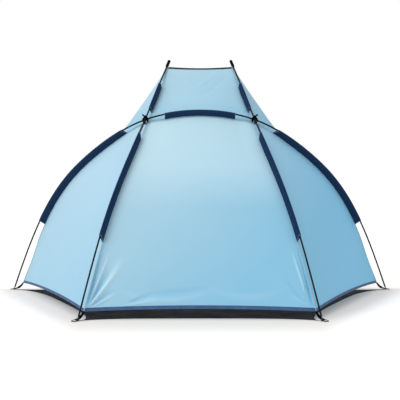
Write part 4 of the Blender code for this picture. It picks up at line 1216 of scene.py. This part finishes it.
def makeCap():
    # a turned outline: blind bore, flared lip, grip ribs and a domed end
    shape = capShape
    radius, bore, length, flat = shape["radius"], shape["bore"], shape["length"], shape["domeFlat"]
    body = np.linspace(0.004, length - 0.009, 40)
    turns = (body - 0.004) / (length - 0.013) * math.tau * shape["ribs"]
    ribs = radius - shape["ribDepth"] * (0.5 - 0.5 * np.cos(turns))
    dome = [(length - shape["dome"] + shape["dome"] * math.sin(a), radius * (flat + (1 - flat) * math.cos(a)))
            for a in np.linspace(0, math.pi / 2, 9)[:-1]]
    top = shape["depth"] + 0.0005
    outline = [(top, 0.0), (top, bore), (0.0006, bore), (0.0, bore + 0.0005), (0.0, radius - 0.0006),
               (0.0006, radius), (0.0032, radius), *zip(body, ribs), *dome, (length, 0.0)]
    base = sideEnd - shape["depth"]
    return onPole(side, [(base + s, r) for s, r in outline], 28)


def makeTipLoop():
    corner, rodPoint, shape = sideSeam(roofAt), place(side, roofAt), loopShape
    reach = np.linalg.norm(rodPoint - corner)
    x, y = teardrop(reach, shape["radius"], shape["lift"], shape["halfGap"], 21)
    return band(corner, unit(rodPoint - corner), heading(side, roofAt), x, y, shape["width"])


solids("tip_cap_left", makeCap(), mouldedBlack, "black_plastic")
sheets("tip_loop_left", "Band", makeTipLoop(), loopShape["thickness"], webbing, "webbing")


# Feet

footShape = {
    "eyeRadius": 0.00525,
    "eyeWire": 0.00175,
    "pinRadius": 0.00225,
    "ringWire": 0.00175,
    "ringHalfWidth": 0.0150,
    "ringLeg": 0.0140,
    "ringCorner": 0.0030,
    "weld": 0.0003,
    "clearance": 0.0004,
    "eyeOffset": 0.0065,
    "strapOffset": 0.0055,
    "strapWidth": 0.013,
    "strapThickness": 0.0012,
    "strapLift": 0.0006,
    "strapHalfGap": 0.0008,
    "strapBow": 0.0007,
    "strapSag": 0.0040,
    "strapCurl": 0.0050,
}


def footFrame(row):
    # the eye, the ring's bar, the directions inwards and along it, and where the strap holds it. The bar is square to
    # the ground line from it to the cloth's corner, less the strap's offset
    shape, (line, corner) = footShape, feet[row]
    eye, strapAt = place(line, 0.0), shape["eyeOffset"] + shape["strapOffset"]
    bar = eye - np.array((0, 0, shape["eyeRadius"] - shape["eyeWire"] - shape["clearance"] - shape["ringWire"]))
    to = (corner - bar)[:2]
    bearing = math.atan2(to[1], to[0]) - math.asin(strapAt / np.linalg.norm(to))
    inwards = np.array((math.cos(bearing), math.sin(bearing), 0.0))
    along = np.array((-inwards[1], inwards[0], 0.0))
    return eye, bar, inwards, along, bar + along * strapAt


def chaikin(points, rounds):
    # corners cut at a quarter and three quarters of every step
    for _ in range(rounds):
        low = points[:-1] * 0.75 + points[1:] * 0.25
        high = points[:-1] * 0.25 + points[1:] * 0.75
        points = np.concatenate([points[:1], np.stack([low, high], 1).reshape(-1, 3), points[-1:]])
    return points


def makePin(row):
    # a wire: straight shank, then once round the eye
    shape = footShape
    eye, _, _, along, _ = footFrame(row)
    up = heading(feet[row][0], 0.0)
    flat = squareTo(up, along)
    shank = np.linspace(poleShape["foot"] + poleShape["pinDepth"], shape["eyeRadius"] + 0.002, 14)[:, None]
    angle = np.radians(np.linspace(24, 346, 44))[:, None]
    loop = eye + shape["eyeRadius"] * (flat * np.cos(angle) + np.cross(along, flat) * np.sin(angle))
    points = chaikin(np.concatenate([eye + up * shank, loop]), 2)
    share = smooth(np.linspace(0, 1, len(points)) / 0.3)
    radii = shape["pinRadius"] + (shape["eyeWire"] - shape["pinRadius"]) * share
    radii[0] *= 0.6
    return capped(tube(points, radii, 14, along))


def makeRing(row):
    # a closed wire: rounded corner, leg, half circle, leg, rounded corner and straight bar
    shape = footShape
    _, bar, inwards, along, _ = footFrame(row)
    middle = bar + along * shape["eyeOffset"]
    half, corner, leg = shape["ringHalfWidth"], shape["ringCorner"], shape["ringLeg"]
    tilt = math.asin((middle[2] - shape["ringWire"]) / (leg + half))
    out = -inwards * math.cos(tilt) - np.array((0, 0, math.sin(tilt)))
    quarter, turn = np.linspace(0, math.pi / 2, 7), np.linspace(0, math.pi, 31)
    bendX, bendY = half - corner + corner * np.sin(quarter), corner - corner * np.cos(quarter)
    straight = np.linspace(-(half - corner), half - corner, 12)[1:-1]
    x = np.concatenate([bendX, half * np.cos(turn), -bendX[::-1], straight])
    y = np.concatenate([bendY, leg + half * np.sin(turn), bendY[::-1], 0 * straight])
    weld = shape["weld"] * bump(x + 0.001, 0.0012) * (y < 0.0001)  # its bead on the bar
    points = middle + along * x[:, None] + out * y[:, None]
    grid = tube(points, shape["ringWire"] + weld, 14, np.cross(along, out), closed=True)
    return np.concatenate([grid, grid[:1]])


def makeStrap(row):
    # a loop from the corner round the ring's bar and back, whose two leaves bow apart and hang in a curve
    shape, corner = footShape, feet[row][1]
    *_, along, hold = footFrame(row)
    down = hold - corner
    reach, down = np.linalg.norm(down), unit(down)
    radius = shape["ringWire"] + shape["clearance"] + shape["strapThickness"] / 2
    x, y = teardrop(reach, radius, shape["strapLift"], shape["strapHalfGap"], 15)
    free = arch(y / reach)
    grid = band(corner, down, along, x + np.sign(x) * shape["strapBow"] * free, y, shape["strapWidth"], 9)
    # both leaves curl down along their edges
    aside = np.cross(along, down)
    curl = np.linspace(-1, 1, 9)[:, None] ** 2 * (shape["strapCurl"] * free)
    grid = grid - aside * np.sign(aside[2]) * curl[..., None]
    return grid - np.array((0.0, 0.0, 1.0)) * (shape["strapSag"] * free)[:, None]


for row in feet:
    solids(f"foot_pin_{row}_left", makePin(row), wireSteel, "steel")
    solids(f"foot_ring_{row}_left", makeRing(row), ringSteel, "steel", moving=True)
    sheets(f"foot_strap_{row}_left", "Band", makeStrap(row), footShape["strapThickness"], webbing, "webbing")
print("feet made")


# Groundsheet

floorShape = {
    "rearInset": 0.073,  # a share of the edge's length, as the next two
    "sideInset": 0.085,
    "frontInset": 0.024,
    "setback": 0.001,
    "thickness": 0.0009,
    "lift": 0.0006,
    "wave": 0.0011,
    "fold": 0.0016,
    "size": (150, 130),
}
floorLook = {
    "woven": (linear(32, 33, 36), linear(66, 68, 72)),
    "dust": linear(60, 57, 53),
    "thread": linear(92, 94, 98),
    "threads": 380.0,
    "hem": 0.020,
}


def makeGroundCloth():
    look = floorLook
    material, shader = startMaterial("groundCloth", Specular_IOR_Level=0.02)
    edge, spot = uvMap(shader, "edge"), objectSpot(shader)
    weave = group("weave", uvMap(shader), Threads=look["threads"], Ripstop=0.25)
    sewn = group("stitch", edge, Place=0.017, Pitch=0.0045, Width=0.001)
    colour = blendColours(times(weave, 0.5), *look["woven"])
    colour = blendColours(times(group("cloudy", spot, Scale=5.0), 0.3), colour, look["dust"])
    colour = blendColours(times(sewn, 0.8), colour, look["thread"])
    put(shader, {"Roughness": group("cloudy", spot, Scale=9.0, Low=0.60, High=0.80)})
    paint(shader, colour, (group("band", edge, Width=look["hem"]), 0.0006, 0.7), (weave, 0.0004, 0.5))
    return material


def scooped(start, end, inset, count, quickEnd=0):
    # a line that draws in by inset times its length times 1 - (2t - 1)^4, its points closer near the ends
    t = np.linspace(0, 1, count)[:, None]
    along = 0.5 - 0.5 * np.cos(math.pi * t) * (1 - 0.35 * arch(t) ** 2)
    reached = along + (t - along) * t * quickEnd
    chord = end - start
    square = np.array((-chord[1], chord[0], 0.0))
    return start + chord * along + square * inset * (1 - (2 * reached - 1) ** 4)


def makeGroundsheet():
    shape, corners = floorShape, []
    for row in feet:
        _, _, inwards, _, hold = footFrame(row)
        corners.append((hold + inwards * shape["setback"]) * np.array((1.0, 1.0, 0.0)))
    (front, rear), (rows, columns) = corners, shape["size"]
    rearEdge = scooped(rear, mirrored(rear), shape["rearInset"], columns)
    frontEdge = scooped(mirrored(front), front, shape["frontInset"], columns)[::-1]
    left = scooped(front, rear, shape["sideInset"], rows, quickEnd=1)[::-1]
    grid = coons(left, mirrored(left), rearEdge, frontEdge, np.linspace(0, 1, rows), np.linspace(0, 1, columns))
    edge = edgeMap(grid, ("left", "right", "bottom", "top"))
    # low creases: crossing waves, and the fold lines it was packed along
    x, y = grid[..., 0], grid[..., 1]
    wave = np.sin(9 * x + 5 * y) * np.sin(6 * y - 4 * x + 1) + 0.6 * np.sin(17 * x - 11 * y + 2) + 1
    fold = bump(x - 0.24, 0.006) + bump(x + 0.24, 0.006) + bump(y - 0.02, 0.006)
    rise = (shape["wave"] * np.maximum(wave, 0) + shape["fold"] * fold) * fade(edge[..., 1], 0.03)
    return grid + np.array((0.0, 0.0, 1.0)) * (shape["lift"] + rise)[..., None], edge


grid, edge = makeGroundsheet()
floorPiece, = sheets("groundsheet", "Cloth", grid, floorShape["thickness"], makeGroundCloth(), "ground_cloth",
                     {"edge": edge})
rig.sheet(floorPiece, flat=(2.12, 1.22), area=round(flatArea(grid), 4), held="laid")
print("groundsheet made")


# Ties at the crossings

tieShape = {
    "width": 0.01008,  # of the tape in the wrap
    "thickness": 0.0012,
    "halfWidth": 0.0105,  # of the wrap
    "clearance": 0.0010,
    "leans": (0.18, -0.18),
    "waver": 0.0006,
    "knot": (0.0072, 0.0064, 0.0045),
    "knotWidth": 0.0058,
    "knotThickness": 0.0030,
    "coreRadius": 0.0046,
    "ends": ((0.026, 0.002, -1.0), (-0.014, -0.024, -0.7)),  # how far aside, how far off the poles, curl
    "endWidth": 0.0085,
    "endThickness": 0.0011,
    "endCurl": 0.004,
    "leafFrom": (0.007, 0.004),  # from the knot, along the poles' bisector and down
    "leafTo": (0.021, 0.035),
    "leafWidth": 0.025,
    "leafThickness": 0.0045,
    "leafTurn": 0.45,
    "leafBow": 0.003,
}


def makeTie():
    shape = tieShape
    low, high = place(hoop, hoopCross), place(side, sideCross)
    up = unit(high - low)
    between = squareTo(heading(hoop, hoopCross) + heading(side, sideCross), up)
    aside = np.cross(up, between)

    def at(x, y, z):
        # a point or line in the tie's own axes: along the poles' bisector, across it, and off the poles
        x, y, z = (np.asarray(v)[..., None] for v in (x, y, z))
        return low + between * x + aside * y + up * z

    grids = []
    # the wrap: a rounded box round both poles, twice, slanting a little each way
    bottom = -poleShape["radius"] - shape["clearance"] - shape["thickness"] / 2
    topAt = np.linalg.norm(high - low) - bottom
    angle = np.linspace(0, math.tau, 49)[:-1]
    y, z = oblong(angle, 0.6, 0.6)
    y, z = shape["halfWidth"] * y, (bottom + topAt) / 2 + (topAt - bottom) / 2 * z
    for lean in shape["leans"]:
        spine = at(y * lean + shape["waver"] * np.sin(angle * 3), y, z)
        way = unit(np.roll(spine, -1, 0) - np.roll(spine, 1, 0))
        beside = squareTo(between + aside * lean, way)
        a, b = oblong(np.linspace(0, math.tau, 13), 0.4, 0.7)
        grid = carried(spine, beside, np.cross(way, beside), a * shape["width"] / 2, b * shape["thickness"] / 2)
        grids.append(np.concatenate([grid, grid[:1]]))
    # the knot: a flat overhand turn, a trefoil-like curve in a fat ribbon, round a core
    t = np.linspace(0, math.tau, 97)
    kx, ky, kz = shape["knot"]
    base = topAt + 0.0012 + kz * 0.6
    spine = at(kx * 0.52 * (np.sin(t) + 0.62 * np.sin(2 * t)), ky * 0.52 * (np.cos(t) - 0.62 * np.cos(2 * t)),
               base - kz * 0.42 * np.sin(3 * t))
    bend = np.gradient(np.gradient(spine, axis=0), axis=0) + up * 0.0002
    grids.append(ribbon(spine, bend, shape["knotWidth"], shape["knotThickness"]))
    core = at(0, 0, np.linspace(topAt - 0.0005, base + kz * 0.55, 9))
    swell = shape["coreRadius"] * np.sin(np.linspace(0.35, math.pi - 0.25, 9)) ** 0.5
    grids.append(capped(tube(core, swell, 16, aside)))
    # a leaf-shaped loop that hangs from the knot
    t = np.linspace(0, 1, 24)
    out, down = (first + (last - first) * t for first, last in zip(shape["leafFrom"], shape["leafTo"]))
    width = shape["leafWidth"] * arch(0.25 + 0.72 * t) ** 0.8
    grids.append(ribbon(at(-out - shape["leafBow"] * arch(t), 0, base - down), aside - shape["leafTurn"] * between,
                        width, shape["leafThickness"]))
    # one end stands off the knot and one hangs from it
    t = np.linspace(0, 1, 28)
    width = shape["endWidth"] * (0.62 + 0.38 * smooth(t / 0.35))
    for reach, rise, curl in shape["ends"]:
        way = np.sign(reach)
        spine = at(-way * shape["endCurl"] * curl * t * t, way * 0.002 + reach * np.sin(t * math.pi / 2),
                   base + rise * t ** (1.0 if rise > 0 else 1.5))
        twist = -way * between * np.cos(0.7 * curl * t)[:, None] + up * np.sin(0.7 * curl * t)[:, None]
        grids.append(ribbon(spine, twist, width, shape["endThickness"]))
    # the stem, sewn into the seam where the four panels meet
    down, length = unit(meeting - low), np.linalg.norm(meeting - low)
    spine = low + down * np.linspace(0.0058, length - 0.0010, 20)[:, None]
    return grids + [ribbon(spine, np.cross(down, aside), shape["endWidth"], shape["endThickness"])]


tieGrids = makeTie()
for node, grids in zip(pair("crossing_tie_left"), (tieGrids, [mirrored(grid) for grid in tieGrids])):
    newPiece(node + "Band", joinedMesh("tie", grids), webbing, "webbing", [node])
print("ties made")


# Light, floor and camera

studio = {
    "floorColour": (0.86, 0.835, 0.815),
    "floorGlow": 0.28,
    "glowFrom": 0.02,  # from the tent's outline outwards
    "glowReach": 0.50,
    "glowSteepness": (0.9, 2.8, 5.0),  # behind the tent, beside it and in front
    "worldStrength": 0.80,
    "worldLow": 0.16,  # level with the floor
    "worldRise": 0.34,  # the sine of the elevation where the full strength begins
    "keyStrength": 1.18,
    "keyWay": (-0.62, -0.45, 0.64),  # towards the lamp
    "keyAngle": math.radians(40),
    "lens": 101.52,
    "cameraPlace": (0.0, -5.85, 0.80),
    "cameraTilt": math.radians(2.527),
}


def makeFloor():
    # white to the camera away from the tent, through Light Path; near the tent the floor shows only its own shading
    material, shader = startMaterial("studioFloor", Roughness=0.9, Specular_IOR_Level=0.0, Emission_Color=(1, 1, 1, 1),
                                     Base_Color=(*studio["floorColour"], 1))
    seen = add(shader, "LightPath").outputs["Is Camera Ray"]
    away = add(shader, "Attribute", attribute_name="away").outputs["Fac"]
    put(shader, {"Emission Strength": times(times(seen, studio["floorGlow"]), away)})
    t = np.linspace(-1, 1, 161)
    line = 1.6 * t + 28.4 * t ** 5  # in squares that grow outwards
    x, y = np.meshgrid(line, line + 0.1)
    mesh = gridMesh("studioFloor", np.stack([x, y, np.full(x.shape, -0.0004)], -1))
    # the distance outwards from the trapezium between the feet: the largest of those from its sides, each steepened
    rear, front, half = tentShape["rearHalfWidth"], tentShape["frontHalfWidth"], tentShape["depth"] / 2
    spot = np.empty(len(mesh.vertices) * 3)
    mesh.vertices.foreach_get("co", spot)
    x, y, _ = spot.reshape(-1, 3).T
    beside = ((np.abs(x) - rear) * 2 * half - (y + half) * (front - rear)) / math.hypot(front - rear, 2 * half)
    distance = np.max([k * off for k, off in zip(studio["glowSteepness"], (-y - half, beside, y - half))], axis=0)
    share = smooth((distance - studio["glowFrom"]) / studio["glowReach"]).astype(np.float32)
    mesh.attributes.new("away", "FLOAT", "POINT").data.foreach_set("value", share)
    mesh.materials.append(material)
    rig.stage(newObject("studioFloor", mesh))


def makeWorld():
    # ambient light that weakens towards the floor, and white where the camera, a mirror or glass looks past the floor
    world = bpy.data.worlds.new("studioWorld")
    bpy.context.scene.world = world
    world.use_nodes = True
    shader = world.node_tree.nodes["Background"]
    path = add(shader, "LightPath").outputs
    seen = calc("MAXIMUM", calc("MAXIMUM", path["Is Camera Ray"], path["Is Glossy Ray"]), path["Is Transmission Ray"])
    height = xyz(add(shader, "TexCoord").outputs["Generated"])[2]
    limits = {"From Max": studio["worldRise"], "To Min": studio["worldLow"], "To Max": studio["worldStrength"]}
    light = add(shader, "MapRange", {"Value": height, **limits}, interpolation_type="SMOOTHSTEP").outputs[0]
    put(shader, {"Color": (1, 1, 1, 1), "Strength": ranged(seen, {"To Min": light, "To Max": 1.0})})


def addKey():
    # one broad, soft lamp from the upper left on the camera's side
    data = bpy.data.lights.new("keyLight", "SUN")
    data.energy, data.angle = studio["keyStrength"], studio["keyAngle"]
    lamp = newObject("keyLight", data)
    x, y, z = studio["keyWay"]
    lamp.location = (3 * x, 3 * y, 3 * z)
    lamp.rotation_euler = (math.atan2(math.hypot(x, y), z), 0, math.atan2(y, x) + math.pi / 2)


def addCamera():
    data = bpy.data.cameras.new("camera")
    data.lens, data.sensor_width = studio["lens"], 36.0
    camera = newObject("camera", data)
    camera.location = studio["cameraPlace"]
    camera.rotation_euler = (math.pi / 2 - studio["cameraTilt"], 0, 0)
    bpy.context.scene.camera = camera


makeFloor()
makeWorld()
addKey()
addCamera()
bpy.context.scene.view_settings.view_transform = "Standard"

with open("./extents.json", "w") as out:
    json.dump({"cad": [[float(v) for v in corner] for corner in cadBox],
               "visual": [[float(v) for v in corner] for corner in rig.bounds()]}, out)
print("scene ready")
